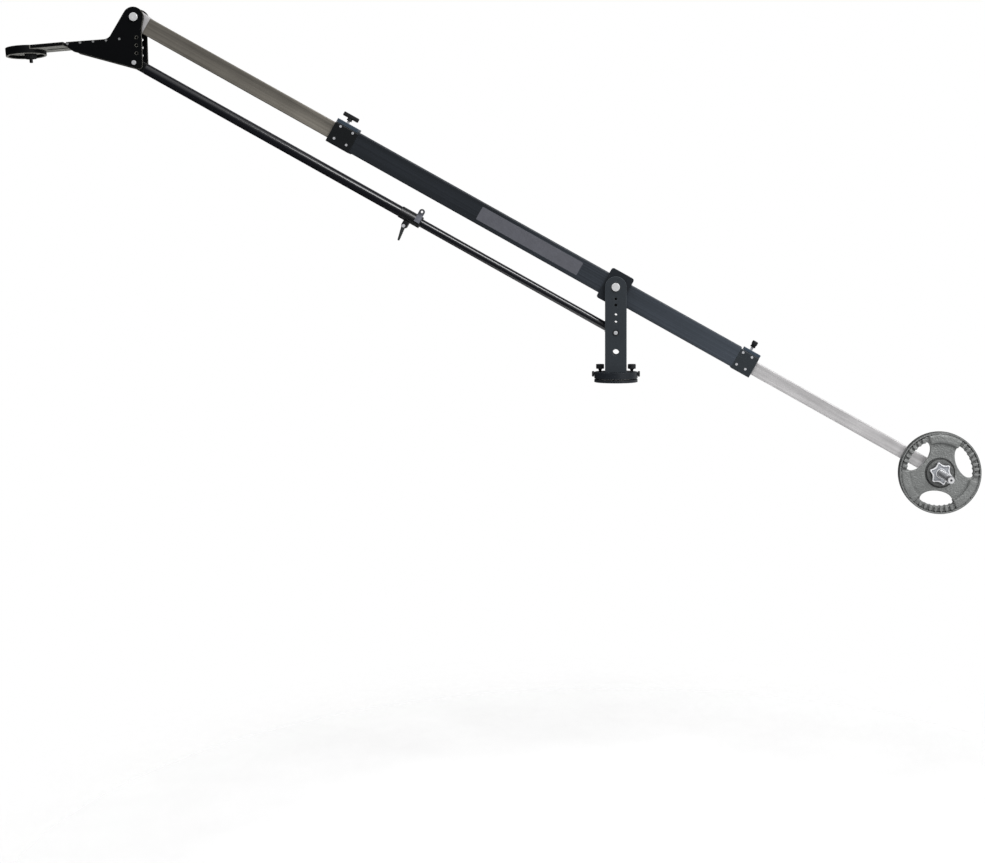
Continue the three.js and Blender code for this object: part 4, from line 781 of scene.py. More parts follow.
# Painted light: this finish is darkened everywhere but the rear tube's tail, which stays paler to offset the
# weight's shadow on it.
deeper_towards(pale_brushed, "X", 0.84, 0.80, 0.727)
front_tube = grown("front_boom_tube", box_tube, {
    "Width": 0.038, "Height": 0.05, "Wall": 0.003, "Corner": 0.003, "Start": -1.5507, "End": -0.54,
    "Bore": 0.001, "Bore Reach": 0.0, "Bore Rise": 0.0, "Bored": False, "Finish": bare_drawn})
fitted(moved(front_tube, tube_frame, ALONG), bare_drawn, "front_extension", "mill_aluminium", "front_tube")
lug_outline = [(LUG_START, LUG_RADIUS), *arc((-HEAD_REACH, TUBE_DROP), LUG_RADIUS, 90, 270, 36),
               (LUG_START, -LUG_RADIUS)]
lug = plate("head_lug", lug_outline, [circle(AXLE_BORE, (-HEAD_REACH, TUBE_DROP))], LUG_WIDTH, edge=1.6)
fitted(moved(lug, tube_frame, at(0, LUG_WIDTH / 2, 0), STANDING), pale_brushed, "front_extension",
       "pale_aluminium", "front_lug")
painted(nylon, "front_slide_pad", "rear_slide_pad")

# Rear tube, the weight bar and its set rings
# The rear tube is bright drawn aluminium. A steel bar, threaded along its near end, crosses its
# tail between two zinc plated set rings, and a plastic plug closes the tube.
REAR_DROP, WEIGHT_REACH = 4.5, 1072.3
BAR_BORE, THREAD_PITCH = 11.8, 4.0
THREAD_RADIUS, THREAD_RIDGE, THREADS = 0.0106, 0.0009, ((-185.5, 118.5), (45, 71))
RING_RADIUS, RING_FACES = 21, (15.4, 25.4)
rear_frame = tube_frame @ at(0, 0, -REAR_DROP)
weight_frame = rear_frame @ at(WEIGHT_REACH, 0, 0) @ turn("Y", -ARM_PITCH_DEGREES)
rear_tube = grown("rear_boom_tube", box_tube, {
    "Width": 0.03, "Height": 0.04, "Wall": 0.003, "Corner": 0.003, "Start": 0.167, "End": 1.0963,
    "Bore": BAR_BORE / MM_PER_M, "Bore Reach": WEIGHT_REACH / MM_PER_M, "Bore Rise": 0.0, "Bored": True,
    "Finish": pale_brushed})
fitted(moved(rear_tube, rear_frame, ALONG), pale_brushed, "rear_extension", "pale_aluminium", "rear_tube")
painted(moulded_black, "rear_tube_plug")


def thread_tree():
    tree, sizes = shape_tree("Screw thread", "Radius", "Turns", "Length", "Ridge")
    path = wired(tree, "GeometryNodeCurveSpiral", {
        "Resolution": 32, "Rotations": sizes["Turns"], "Start Radius": sizes["Radius"],
        "End Radius": sizes["Radius"], "Height": sizes["Length"]}).outputs["Curve"]
    ridge = wired(tree, "GeometryNodeCurvePrimitiveCircle", {
        "Resolution": 4, "Radius": sizes["Ridge"]}, mode="RADIUS").outputs["Curve"]
    swept = wired(tree, "GeometryNodeCurveToMesh", {"Curve": path, "Profile Curve": ridge, "Fill Caps": True})
    return closed_tree(tree, sizes, swept.outputs["Mesh"])


BAR_PROFILE = [(0, -192), (3.2, -192), (3.2, -202.4), (8.6, -202.4), (8.8, -189),
               (10.7, -186.5), (10.7, 117.5), (9, 120), (0, 120)]
screw_thread = thread_tree()
bar_steel = finish("rolled thread", (182, 183, 186), 0.3, metal=0.9, edge_mark=(0.001, 0.3),
                   edge_colour=(226, 226, 228))
shaft = turned("threaded_bar", BAR_PROFILE)
for start, length in THREADS:
    thread = grown("thread", screw_thread, {
        "Radius": THREAD_RADIUS, "Turns": length / THREAD_PITCH, "Length": length / MM_PER_M,
        "Ridge": THREAD_RIDGE, "Finish": bar_steel})
    joined(shaft, moved(thread, at(0, 0, start)))
fitted(moved(shaft, weight_frame, ACROSS), bar_steel, "rear_extension", "plated_steel", "weight_bar")
bar_face = turned_ring("bar_end_face", 3.4, 8.8, -203, -202.3, steps=48)
fitted(moved(bar_face, weight_frame, ACROSS), bright_plate, "rear_extension", "plated_steel")
for node, facing in (("bar_ring_near", turn("X", 180)), ("bar_ring_far", turn("X", 0))):
    ring = turned_ring("set_" + node, BAR_BORE, RING_RADIUS, *RING_FACES, soft=1.0)
    fitted(moved(ring, weight_frame, facing, ACROSS), zinc, "rear_extension", "plated_steel", node)

# Counterweight
# A round cast iron plate with a hammered grey enamel: a thick rim, three grips with short radial
# finger ribs, broad spokes that carry raised convex panels, and a bored hub with a groove round it.


def finger_ribs_tree():
    tree, sizes = shape_tree("Finger ribs", "Reach", "Length", "Width", "Height", "Start", "Step",
                             counts=["Count"])
    corner = worked(tree, "MULTIPLY", sizes["Width"], 0.48)
    line = rounded_line(tree, sizes["Length"], sizes["Width"], corner, 5)
    drop = worked(tree, "MULTIPLY", sizes["Height"], -0.5)
    rib = shifted(tree, raised(tree, line, sizes["Height"]), Translation=spot(tree, X=sizes["Reach"], Z=drop))
    centre = wired(tree, "GeometryNodeMeshLine", {"Count": sizes["Count"], "Offset": (0.0, 0.0, 0.0)})
    index = tree.nodes.new("GeometryNodeInputIndex").outputs["Index"]
    angle = worked(tree, "ADD", worked(tree, "MULTIPLY", index, sizes["Step"]), sizes["Start"])
    turning = wired(tree, "FunctionNodeEulerToRotation", {"Euler": spot(tree, Z=angle)}).outputs["Rotation"]
    return closed_tree(tree, sizes, repeated(tree, centre.outputs["Mesh"], rib, Rotation=turning))


# Painted shade: ambient occlusion darkens grooves and inner corners.
def crevice_shade_group():
    group, sizes, end = effect("Crevice shade", "Shade", Reach=0.005, Amount=0.7)
    seen = wired(group, "ShaderNodeAmbientOcclusion", {"Distance": sizes["Reach"]}, samples=8).outputs["AO"]
    shut = ranged(group, seen, 0.9, 0.35, 0.0, 1.0)
    group.links.new(worked(group, "MULTIPLY", shut, sizes["Amount"]), end)
    return group


def ring_mask_group():
    group, sizes, end = effect("Ring mask", "Mask", Centre=(0.0, 0.0, 0.0), Inner=0.1, Outer=0.11)
    away = of_vectors(group, "SUBTRACT", own_place(group), sizes["Centre"])
    flat = of_vectors(group, "MULTIPLY", away, (1.0, 0.0, 1.0))
    reach = of_vectors(group, "LENGTH", flat, (0.0, 0.0, 0.0), "Value")
    group.links.new(ranged(group, reach, sizes["Inner"], sizes["Outer"], 0.0, 1.0), end)
    return group


crevice_shade, ring_mask = crevice_shade_group(), ring_mask_group()


def crevice_shaded(material, reach, amount):
    """Paints shade into a finish's grooves and inner corners, where little light reaches."""
    return darkened(material, placed(material.node_tree, crevice_shade, Reach=reach, Amount=amount), 0.0)


def spot_on(radius, degrees):
    return (radius * math.cos(math.radians(degrees)), radius * math.sin(math.radians(degrees)))


GRIP_MIDDLES, PANEL_MIDDLES = (23, 143, 263), (81.5, 201.5, 321.5)
GRIP_RADIUS, GRIP_HALF_ANGLE = 96.5, 29
GRIP_HALF, GRIP_DEPTH, GRIP_REACH = 48.5, 27.8, 80
PANEL_INNER_RADIUS, PANEL_OUTER_RADIUS, PANEL_HALF_ANGLE, PANEL_HALF_THICK = 86.5, 110.8, 26.5, 16.8
NOTCH_AWAY, NOTCH_DEEP, NOTCH_STARTS = 30.9, 16.5, (-20, 3.5)
RIB_COUNT, RIB_STEP, FIRST_RIB, RIB_REACH = 7, 8.5, -25.5, 103.2
WEIGHT_MIDDLE, CAST_GRAIN = -39.5, 0.00125
# Radii and share of the darker rim edge, and of the painted shadow that the star collars cast round the hub.
RIM_RING, HUB_SHADOW_RING = (0.1152, 0.1172, 0.25), (0.0425, 0.0385, 0.55)
HUB_SECTION = [(BAR_BORE, 13.5), (37.8, 13.5), (39.4, 4), (42.2, 4)]
WEB_SECTION = [(43, 7), (94, 7), (GRIP_RADIUS, 9), (98, 10.2)]
RIM_SECTION = [(109.8, 10.2), (111.2, 8.2), (112.4, 8.2), (113.2, 13.5), (116.3, 13.5), (118.3, 10.5)]


def grip_outline(middle):
    """A kidney-shaped opening: half an ellipse towards the hub, closed by an arc inside the rim."""
    outer = [spot_on(GRIP_RADIUS, middle + GRIP_HALF_ANGLE * (i / 8 - 1)) for i in range(17)]
    inner = []
    for i in range(29):
        share = math.pi * i / 28
        along, out = GRIP_HALF * math.cos(share), GRIP_REACH - GRIP_DEPTH * math.sin(share)
        inner.append(spot_on(math.hypot(along, out), middle + math.degrees(math.atan2(along, out))))
    return eased(outer + inner, 4)


def panel_outline_at(middle):
    shares = [i / 10 - 1 for i in range(21)]
    edge = [spot_on(PANEL_OUTER_RADIUS, middle + PANEL_HALF_ANGLE * share) for share in shares]
    edge += [spot_on(PANEL_INNER_RADIUS, middle - PANEL_HALF_ANGLE * share) for share in shares]
    return eased(edge, 6, 6)


def hammered_finish(name, colour, rough):
    """A finish with the dimpled, flowing look of hammer enamel, with painted shade in its grooves, a darker
    rim edge and a painted shadow round its hub.
    """
    material = finish(name, colour, rough, metal=0.1, specular=0.6, cloud=(0.03, 0.12),
                      edge_mark=(0.0022, 0.7), edge_colour=(176, 178, 178), grain=(0.001, 0.1))
    tree = material.node_tree
    cells = wired(tree, "ShaderNodeTexVoronoi", {"Vector": own_place(tree), "Scale": 240.0},
                  feature="SMOOTH_F1")
    bumped(material, cells.outputs["Distance"], 1.0, 0.0018)
    # Painted shade in the grooves and inner corners.
    crevice_shaded(material, 0.008, 1.0)
    # Darker at the rim's outer edge, and a painted shadow of the star collars round the hub.
    for inner, outer, lowest in (RIM_RING, HUB_SHADOW_RING):
        ring = placed(tree, ring_mask, Centre=weight_frame.translation, Inner=inner, Outer=outer)
        darkened(material, ring, lowest)
    return material


cast_enamel = hammered_finish("hammered enamel", (126, 128, 127), 0.36)
finger_ribs = finger_ribs_tree()
half_section = [*HUB_SECTION, *WEB_SECTION, *RIM_SECTION]
section = half_section[::-1] + [(radius, -height) for radius, height in half_section]
disc = turned("cast_plate", section, 180, hollow=True)
carved(disc, *[moved(plate("grip", grip_outline(middle), [], 60, edge=0.5), at(0, 0, -30))
               for middle in GRIP_MIDDLES])
notch_outline = box(8.5, 1.1, 0.4, (RIB_REACH, 0))
for middle in GRIP_MIDDLES:
    for away in (-NOTCH_AWAY, NOTCH_AWAY):
        for start in NOTCH_STARTS:
            notch = plate("notch", notch_outline, [], NOTCH_DEEP, edge=0.2)
            carved(disc, moved(notch, at(0, 0, start), turn("Z", middle + away)))
for middle in PANEL_MIDDLES:
    panel = plate("panel", panel_outline_at(middle), [], 2 * PANEL_HALF_THICK, edge=4.5)
    joined(disc, moved(panel, at(0, 0, -PANEL_HALF_THICK)))
for middle in GRIP_MIDDLES:
    joined(disc, grown("ribs", finger_ribs, {
        "Reach": RIB_REACH / MM_PER_M, "Length": 0.0152, "Width": 0.0086, "Height": 0.0318,
        "Start": math.radians(middle + FIRST_RIB), "Step": math.radians(RIB_STEP), "Count": RIB_COUNT,
        "Finish": cast_enamel}))
cast = disc.modifiers.new("cast surface", "REMESH")
cast.mode, cast.voxel_size = "VOXEL", CAST_GRAIN
rub = disc.modifiers.new("rubbed edges", "SMOOTH")
rub.factor, rub.iterations = 0.5, 2
weight = moved(baked(disc), weight_frame, at(0, WEIGHT_MIDDLE, 0), STANDING)
fitted(weight, cast_enamel, "weight", "cast_grey", "weight_plate", crisp=False)

# Star collars on the weight bar
# Die-cast collars with six blunt points, nickel plated, that screw along the bar and lock the
# weight. Each has a raised edge that follows its points and a round boss towards the weight.
STAR_POINTS, STAR_STEPS, STAR_FIRST = 6, 16, 43
STAR_RADIUS, STAR_HOLLOW, STAR_TIP_SHARE = 32.4, 7.5, 0.1
STAR_EDGE, STAR_EDGE_THICK, STAR_FIELD_THICK, STAR_FOOT = 4.4, 9, 6.6, 3
STAR_FIELD_INSET, STAR_PLACES = 4.2, {"near": 53.6, "far": 26.0}
BOSS_RADIUS, BOSS_TOP, SLEEVE_RADIUS, SLEEVE_FOOT, SLEEVE_TOP = 18, 3.4, 15, 3.5, 11.9


def star_outline(inset):
    points = []
    for i in range(STAR_POINTS * STAR_STEPS):
        share = ((i % STAR_STEPS) / STAR_STEPS - STAR_TIP_SHARE) / (1 - 2 * STAR_TIP_SHARE)
        hollow = math.sqrt(math.sin(math.pi * min(max(share, 0), 1)))
        points.append(spot_on(STAR_RADIUS - inset - STAR_HOLLOW * hollow,
                              STAR_FIRST + i * 360 / (STAR_POINTS * STAR_STEPS)))
    return points


# Both nickel finishes carry painted shade in their inner corners.
satin_nickel = crevice_shaded(finish("satin nickel", (236, 237, 240), 0.3, metal=0.12, specular=0.6,
                              cloud=(0.02, 0.05), edge_mark=(0.001, 0.4), edge_colour=(244, 244, 246),
                              grain=(0.0005, 0.05)), 0.005, 0.9)
sunk_nickel = crevice_shaded(finish("sunk nickel", (170, 173, 179), 0.45, metal=0.2, specular=0.4,
                             cloud=(0.006, 0.25), edge_mark=(0.001, 0.2), grain=(0.0008, 0.2)), 0.006, 0.9)
for side, facing in SIDES:
    node = "star_collar_" + side
    star_place = weight_frame @ facing @ at(0, -STAR_PLACES[side], 0) @ STANDING
    boss = turned_ring("boss", BAR_BORE, BOSS_RADIUS, 0, BOSS_TOP, 0.6, 48)
    field_line = star_outline(STAR_FIELD_INSET)
    field = plate("field_of_" + node, field_line, [circle(BAR_BORE)], STAR_FIELD_THICK, edge=0.4)
    edge = plate("edge", star_outline(0), [star_outline(STAR_EDGE)], STAR_EDGE_THICK, edge=1.1)
    sleeve = turned_ring("sleeve", BAR_BORE, SLEEVE_RADIUS, SLEEVE_FOOT, SLEEVE_TOP, 0.8, 48)
    fitted(moved(field, star_place, at(0, 0, STAR_FOOT)), sunk_nickel, node, "bright_steel")
    star = joined(boss, moved(edge, at(0, 0, STAR_FOOT)), sleeve)
    star.name = "locking_" + node
    fitted(moved(star, star_place), satin_nickel, node, "bright_steel", node)

# Parallel rod: its two tubes and their eyes
# Two black anodised round tubes, the rear one sliding in the front one, keep the head level. Each
# ends in a black eye pinned between the plates.
REAR_ROD_BORE, REAR_ROD_RADIUS = 10, 12
FRONT_ROD_BORE, FRONT_ROD_RADIUS = 13, 15.5
COLLAR_START, COLLAR_END = -715.5, -648.5
REAR_ROD_START, REAR_ROD_END, FRONT_ROD_START = -1040, -30.3, -1561.7
EYE_RADIUS, EYE_NECK, EYE_THICK, FRONT_EYE_BORE = 14.5, 30, 24, 5.4
rod_frame = at(0, 0, ROD_PIVOT_HEIGHT) @ turn("Y", ARM_PITCH_DEGREES)
LENGTHWISE = turn("Y", 90)
rod_satin = drawn_finish(finish("rod anodised", (16, 17, 23), 0.2, specular=0.8, cloud=(0.2, 0.08),
                                edge_mark=(0.001, 0.2), edge_colour=(90, 94, 102), grain=(0.0006, 0.03)),
                         0.85, 1.15, fineness=500.0)
black_enamel = finish("black enamel", (17, 19, 21), 0.32, specular=0.65, edge_mark=(0.0014, 0.5),
                      edge_colour=(92, 92, 88), grain=(0.0006, 0.08))
rear_rod = turned_ring("rear_rod", REAR_ROD_BORE, REAR_ROD_RADIUS, REAR_ROD_START, REAR_ROD_END, 0.5)
fitted(moved(rear_rod, rod_frame, LENGTHWISE), rod_satin, "rod_rear", "black_tube", "rod_rear_tube")
front_rod = turned_ring("front_rod", FRONT_ROD_BORE, FRONT_ROD_RADIUS, FRONT_ROD_START, COLLAR_END, 0.5)
fitted(moved(front_rod, rod_frame, LENGTHWISE), rod_satin, "rod_front", "black_tube", "rod_front_tube")
for body, x, side, bore in (("rod_rear", 0, -1, PIN_BORE), ("rod_front", -HEAD_REACH, 1, FRONT_EYE_BORE)):
    end = [(EYE_NECK, EYE_RADIUS), *arc((0, 0), EYE_RADIUS, 90, 270, 30), (EYE_NECK, -EYE_RADIUS)]
    eye = plate("eye_of_" + body + "_eye", [(x + side * a, b) for a, b in end], [circle(bore, (x, 0), 32)],
                EYE_THICK, edge=1.5)
    fitted(moved(eye, rod_frame, at(0, EYE_THICK / 2, 0), STANDING), black_enamel, body, "black_coated",
           body + "_eye")

# Rod collar with its lever and ear
# A split aluminium collar, black, locks one rod tube in the other. A lever under a bright nut
# tightens the bolt through its lug, and a flat steel ear, rubbed grey, stands beside it.
LUG_PLACE, COLLAR_LUG_RADIUS, COLLAR_LUG_TOP, COLLAR_LUG_DROP, COLLAR_LUG_WIDTH = -686.5, 9, -16, -29, 18
BOLT_DROP, COLLAR_BOLT_BORE = -31.5, 3.3
BOLT_PROFILE = stacked(-16.3, (3, 9.3), (6.5, 13.3))
EAR_PLACE, EAR_HALF, EAR_RISE, EAR_FOOT, EAR_THICK, EAR_FACE = -658.5, 8.5, 30, -4, 4, -17.8
EAR_PALE_BELOW, EAR_DARK_ABOVE = 334, 344
EAR_BORE, COLLAR_BORE, COLLAR_RADIUS = 3.5, 15.8, 17.5
LEVER_HUB, LEVER_TIP, LEVER_LENGTH, LEVER_THICK, LEVER_FACE, LEVER_TILT = 6, 3, 42, 7, -9.3, -9
LEVER_NUT_RADIUS, LEVER_NUT_THICK, LEVER_NUT_FACE = 5.4, 2.6, -16.4
collar = turned_ring("split_collar", COLLAR_BORE, COLLAR_RADIUS, COLLAR_START, COLLAR_END, 0.6)
lug_line = [(LUG_PLACE - COLLAR_LUG_RADIUS, COLLAR_LUG_TOP),
            *arc((LUG_PLACE, COLLAR_LUG_DROP), COLLAR_LUG_RADIUS, 180, 360, 24),
            (LUG_PLACE + COLLAR_LUG_RADIUS, COLLAR_LUG_TOP)]
lug_bore = circle(COLLAR_BOLT_BORE, (LUG_PLACE, BOLT_DROP), 24)
lug_body = plate("collar_lug", lug_line, [lug_bore], COLLAR_LUG_WIDTH, edge=1.0)
collar = joined(moved(collar, LENGTHWISE), moved(lug_body, at(0, COLLAR_LUG_WIDTH / 2, 0), STANDING))
fitted(moved(collar, rod_frame), black_enamel, "rod_front", "black_coated", "rod_collar")
ear_line = [(EAR_PLACE - EAR_HALF, EAR_FOOT), (EAR_PLACE + EAR_HALF, EAR_FOOT),
            *arc((EAR_PLACE, EAR_RISE), EAR_HALF, 0, 180, 20)]
ear = plate("flat_ear", ear_line, [circle(EAR_BORE, (EAR_PLACE, EAR_RISE), 24)], EAR_THICK, edge=0.5)
ear_grey = finish("grey ear", (104, 106, 114), 0.45, specular=0.3, cloud=(0.008, 0.3),
                  edge_mark=(0.001, 0.3), edge_colour=(24, 25, 27))
deeper_towards(ear_grey, "Z", (ROD_PIVOT_HEIGHT + EAR_PALE_BELOW) / MM_PER_M,
               (ROD_PIVOT_HEIGHT + EAR_DARK_ABOVE) / MM_PER_M, 0.3)
fitted(moved(ear, rod_frame, at(0, EAR_FACE, 0), STANDING), ear_grey, "rod_front", "black_coated", "rod_ear")
bolt = turned("lever_bolt", eased(BOLT_PROFILE, 0.5), 32)
fitted(moved(bolt, rod_frame, at(LUG_PLACE, 0, BOLT_DROP), ACROSS), zinc, "rod_front", "plated_steel",
       "collar_bolt")
lever_line = [*arc((0, 0), LEVER_HUB, 0, 180, 12), *arc((0, -LEVER_LENGTH), LEVER_TIP, 180, 360, 12)]
lever = plate("rod_lever_arm", lever_line, [circle(COLLAR_BOLT_BORE, steps=24)], LEVER_THICK, edge=1.4)
lever_grey = finish("rubbed lever", (46, 49, 48), 0.5, specular=0.3, cloud=(0.004, 0.5), edge_mark=(0.001, 0.4),
                    edge_colour=(96, 98, 96))
lever_place = rod_frame @ at(LUG_PLACE, LEVER_FACE, BOLT_DROP) @ turn("Y", LEVER_TILT)
fitted(moved(lever, lever_place, STANDING), lever_grey, "rod_lever", "black_plastic", "rod_lever")
lever_nut = plate("lever_nut", hexagon(LEVER_NUT_RADIUS), [], LEVER_NUT_THICK, edge=0.4)
fitted(moved(lever_nut, rod_frame, at(LUG_PLACE, LEVER_NUT_FACE, BOLT_DROP), STANDING), zinc,
       "rod_front", "plated_steel")

# Head: side plates, pins, washers and stand-off
# Two laser-cut aluminium plates, black coated, hang from the head's pin on nylon washers and take
# the rod's pin at their heel. Small socket screws along the nose hold the camera platform.
HEAD_PLACE = at(-1389.014, 0, 1053.385)
HEAD_INNER, HEAD_THICK, ROD_PIN_DROP = 21.5, 6, -131
HOLE_BACK, FIRST_HOLE_DROP, HOLE_PITCH, NOSE_SCREW = 7.2, -58.7, 22.6, 3.4
NOSE_CORNERS = [(-198, -71.2), (-193.5, -86.6), (-174.5, -99.3)]
HEEL_CURVE = ((9.2, -149), (25, -153.9), (24.7, -133.5))
THROAT_CURVE = ((-69, -52.6), (-75.6, -62.9), (-92, -63.6))
BACK_TOP, CROWN_MIDDLE, CROWN_RADIUS = (22, -30.5), (-2.5, -0.3), 30.3
CROWN_PIN_PROFILE = stacked(-33.8, (12.2, -27.8), (8, 27.8), (12.2, 33.8))
HEEL_PIN_PROFILE = stacked(-31.3, (6.5, -27.8), (5, 27.8), (6.5, 31.3))
NOSE_SPOTS = [(-42, -63), (-80.5, -66.8), (-118, -69.8), (-155.8, -72.8), (-192.5, -76.6)]


def quadratic(first, middle, last, steps=10):
    ends = [Vector(first), Vector(middle), Vector(last)]
    return [tuple(ends[0].lerp(ends[1], i / steps).lerp(ends[1].lerp(ends[2], i / steps), i / steps))
            for i in range(steps + 1)]


# Painted highlight: the pale edges stand for light caught by the plates' chamfers, and the platform's copy
# keeps them.
head_black = finish("head coating", (8, 9, 11), 0.5, specular=0.06, cloud=(0.05, 0.15),
                    edge_mark=(0.0022, 1.0), edge_colour=(150, 148, 140), grain=(0.0009, 0.4))
dull_zinc = finish("dull zinc", (148, 149, 150), 0.4, metal=0.3, edge_mark=(0.001, 0.2))
head_line = [*NOSE_CORNERS, *quadratic(*HEEL_CURVE), BACK_TOP,
             *arc(CROWN_MIDDLE, CROWN_RADIUS, -16, 149.2, 40), *quadratic(*THROAT_CURVE)]
head_holes = [circle(AXLE_BORE), circle(PIN_BORE, (0, ROD_PIN_DROP), 32)]
head_holes += [circle(ADJUST_BORE, (HOLE_BACK, FIRST_HOLE_DROP - HOLE_PITCH * i), 32) for i in range(3)]
for side, start in both_sides(HEAD_INNER, HEAD_THICK):
    node = "head_plate_" + side
    cheek = plate("side_" + node, head_line, head_holes, HEAD_THICK, edge=0.8)
    fitted(moved(cheek, HEAD_PLACE, at(0, start, 0), STANDING), head_black, "head", "black_coated", node)
crown_pin = turned("crown_pin", eased(CROWN_PIN_PROFILE, 1.6, 4), 56)
fitted(moved(crown_pin, HEAD_PLACE, ACROSS), bright_plate, "head", "bright_steel", "head_pivot_pin")
heel_pin = moved(turned("heel_pin", eased(HEEL_PIN_PROFILE, 0.9), 40), at(0, 0, ROD_PIN_DROP), ACROSS)
fitted(moved(heel_pin, HEAD_PLACE), zinc, "head", "plated_steel", "head_rod_pin")
painted(nylon, "head_washer_near", "head_washer_far", "head_spacer_near", "head_spacer_far")
painted(zinc, "head_stand_off")
for side, facing in SIDES:
    screws("nose_screws_" + side, NOSE_SPOTS, NOSE_SCREW, dull_zinc, "head",
           HEAD_PLACE, facing, at(0, -HEAD_INNER - HEAD_THICK, 0), STANDING)

# Camera platform, ring and knob
# A slotted aluminium plate with a wide round nose, black coated, inside a shallow drum, with a painted
# floor reflection on their undersides. The knob in its recess turns the stud that fixes the camera.
PLATFORM_DROP, PLATFORM_TILT, DECK_THICK = 56.8, 4.8, 11
NOSE, TONGUE, SHOULDER, TONGUE_END = 46.5, 21.2, -199.4, -34
RING_MIDDLE, STUD_PLACE, STUD_RADIUS = (-326, 0), -313.5, 4.7
STUD_BORE, STUD_HOLE, STUD_KNOB_GRIP = 5, (-30, 5), 17
DECK_SLOT, STUD_SLOT = (-258, -78, 6.5), (-335.5, -291.5, 5.5)
DRUM_PROFILE = [(0, -14), (49, -14), (49, -24), (56, -24), (56, 0), (0, 0)]
SEAT_RADIUS, SEAT_DEPTH, SEAT_HEIGHT, SEAT_REACH = 46.8, 11.3, 20, -200
GRIP_LOW, GRIP_HIGH = -32.8, -14.3
STUD_KNOB_PROFILE = [(0, -44.5), (STUD_RADIUS, -44.5), (STUD_RADIUS, GRIP_LOW), (16, GRIP_LOW),
                     (16.2, GRIP_HIGH), (STUD_RADIUS, GRIP_HIGH), (STUD_RADIUS, -0.4), (0, -0.4)]
platform_frame = HEAD_PLACE @ at(0, 0, -PLATFORM_DROP) @ turn("Y", -PLATFORM_TILT)


def slot_line(first, last, half):
    return [*arc((first, 0), half, 90, 270, 12), *arc((last, 0), half, -90, 90, 12)]


def painted_floor_reflection(material, colour):
    """Paints a paler colour on the faces that look down, a painted reflection of the pale floor."""
    tree = material.node_tree
    normal = wired(tree, "ShaderNodeTexCoord").outputs["Normal"]
    facing = wired(tree, "ShaderNodeSeparateXYZ", {"Vector": normal}).outputs["Z"]
    socket, before = colour_of(material)
    tree.links.new(blended(tree, ranged(tree, facing, -0.8, -0.95, 0.0, 1.0), before, colour), socket)
    return material


# Painted reflection: the undersides of the deck and drum turn pale grey.
platform_black_with_floor_reflection = painted_floor_reflection(head_black.copy(), (168, 168, 163))
platform_black_with_floor_reflection.name = "platform coating"
plate_line = [(SHOULDER, -NOSE), (SHOULDER, -TONGUE), (TONGUE_END, -TONGUE), (TONGUE_END, TONGUE),
              (SHOULDER, TONGUE), (SHOULDER, NOSE), *arc(RING_MIDDLE, NOSE, 90, 270, 48)]
deck_slots = [slot_line(*DECK_SLOT), slot_line(*STUD_SLOT)]
deck = plate("platform_deck", eased(plate_line, 1.5, 3), deck_slots, DECK_THICK, edge=1.0)
fitted(moved(deck, platform_frame, at(0, 0, -DECK_THICK)), platform_black_with_floor_reflection, "head", "black_coated",
       "platform_plate")
seat_line = [(SEAT_REACH, -SEAT_RADIUS), *arc(RING_MIDDLE, SEAT_RADIUS, 270, 90, 48),
             (SEAT_REACH, SEAT_RADIUS)]
seat = moved(plate("seat", seat_line, [], SEAT_HEIGHT, edge=0.1), at(0, 0, -SEAT_DEPTH))
stud_hole = moved(drill(STUD_BORE, *STUD_HOLE, 32), at(STUD_PLACE, 0, 0))
drum = moved(turned("camera_drum", eased(DRUM_PROFILE, 1.0, 2), 96), at(*RING_MIDDLE, 0))
fitted(moved(carved(drum, seat, stud_hole), platform_frame), platform_black_with_floor_reflection, "head", "black_coated",
       "camera_ring")
knob = hand_knob("stud_knob", STUD_KNOB_PROFILE, STUD_KNOB_GRIP, GRIP_LOW, GRIP_HIGH, ribs=24, rib=1.8)
fitted(moved(knob, platform_frame, at(STUD_PLACE, 0, 0)), moulded_black, "camera_knob", "black_plastic",
       "camera_knob")

# Camera
# It stands where the photograph's did, 4.4 metres in front of the crane and a little above its
# axle, and looks slightly down.
camera_data = bpy.data.cameras.new("camera")
camera = piece_of("camera", camera_data)
camera_data.sensor_width, camera_data.lens = 36.0, 55.78
camera_data.shift_x, camera_data.shift_y = -0.12, -0.12
camera.location = (0.05491, -4.42458, 0.33177)
camera.rotation_euler = (math.pi / 2 - 0.02993, 0.0, 0.01585)
bpy.context.scene.camera = camera

# Studio: lamps, white surround and pale floor
# Large soft lamps above and in front, a surround that is white to the eye and graded in
# reflections, and a pale round floor well below the hanging weight.


def lamp(name, place, target, size, power):
    data = bpy.data.lights.new(name, "AREA")
    data.shape, data.size, data.size_y, data.energy = "RECTANGLE", size[0], size[1], power
    light = piece_of(name, data)
    light.location = place
    light.rotation_euler = (Vector(target) - Vector(place)).to_track_quat("-Z", "Y").to_euler()
    return light


lamp("key", (1.0, -2.5, 3.2), (-0.1, 0, 0.3), (3.2, 0.9), 95.0)
lamp("fill", (2.6, -3.0, 1.4), (0.2, 0, 0.2), (1.8, 1.8), 40.0)
overhead = lamp("top", (0.0, 1.2, 3.2), (-0.2, 0, 0.3), (3.6, 1.0), 60.0)
overhead.visible_glossy = False

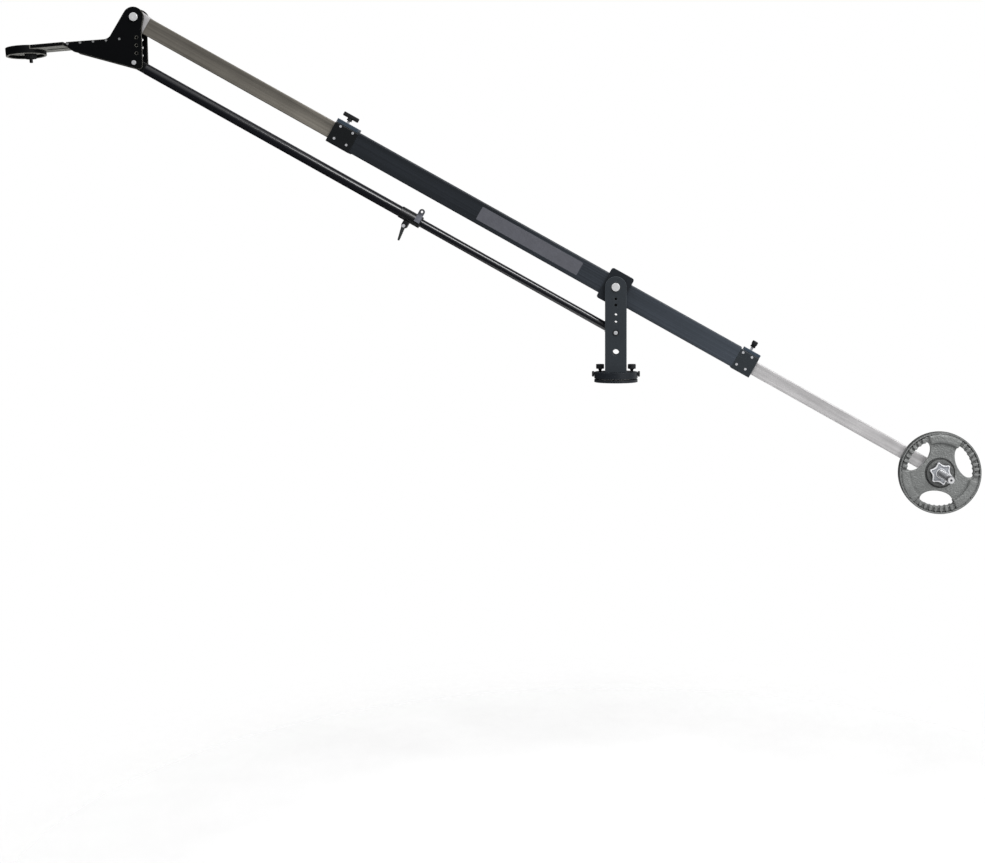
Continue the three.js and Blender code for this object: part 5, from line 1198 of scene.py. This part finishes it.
world = bpy.data.worlds.new("surround")
bpy.context.scene.world = world
world.use_nodes = True
tree = world.node_tree
tree.nodes.clear()
path = wired(tree, "ShaderNodeLightPath").outputs
sky = wired(tree, "ShaderNodeTexCoord").outputs["Generated"]
way = wired(tree, "ShaderNodeSeparateXYZ", {"Vector": sky}).outputs
above = worked(tree, "MULTIPLY", ranged(tree, way["Z"], 0.1, 0.95, 0.05, 0.9),
               ranged(tree, way["Y"], -0.1, 0.6, 1.0, 0.1))
beside = worked(tree, "MULTIPLY", ranged(tree, way["X"], -0.05, 0.4, 0.05, 0.8),
                ranged(tree, way["Z"], -0.5, -0.2, 0.15, 1.0))
mirrored = worked(tree, "MAXIMUM", above, beside)
soft = ranged(tree, way["Z"], -0.6, 0.8, 0.34, 0.72)
level = wired(tree, "ShaderNodeMix", {"Factor": path["Is Glossy Ray"], "A": soft, "B": mirrored},
              data_type="FLOAT").outputs["Result"]
direct = worked(tree, "MAXIMUM", path["Is Camera Ray"], path["Is Transmission Ray"])
strength = wired(tree, "ShaderNodeMix", {"Factor": direct, "A": level, "B": 1.0}, data_type="FLOAT")
glow = wired(tree, "ShaderNodeBackground", {
    "Color": (1.0, 1.0, 1.0, 1.0), "Strength": strength.outputs["Result"]})
wired(tree, "ShaderNodeOutputWorld", {"Surface": glow.outputs["Background"]})

FLOOR_RADIUS, FLOOR_HEIGHT = 2350, -1380
FADE_START, FADE_END_SHARE = 0.6, 0.98
floor = moved(turned("floor", stacked(-1, (FLOOR_RADIUS, 0)), 128), at(0, 0, FLOOR_HEIGHT))
pale = bpy.data.materials.new("pale floor")
pale.use_nodes = True
tree = pale.node_tree
inputs = tree.nodes["Principled BSDF"].inputs
inputs["Roughness"].default_value, inputs["Specular IOR Level"].default_value = 0.9, 0.1
tint = ranged(tree, noise(tree, own_place(tree), 3.0, 4.0), NOISE_LOW, NOISE_HIGH, 0.93, 0.97)
tone = wired(tree, "ShaderNodeCombineColor", {"Red": tint, "Green": tint, "Blue": tint})
tree.links.new(tone.outputs["Color"], inputs["Base Color"])
away = of_vectors(tree, "DISTANCE", own_place(tree), (0, 0, FLOOR_HEIGHT / MM_PER_M), "Value")
fade = ranged(tree, away, FADE_START, FLOOR_RADIUS / MM_PER_M * FADE_END_SHARE, 1.0, 0.0,
              interpolation_type="SMOOTHSTEP")
tree.links.new(fade, inputs["Alpha"])
floor.data.materials.append(pale)

bpy.context.scene.view_settings.view_transform = "Standard"
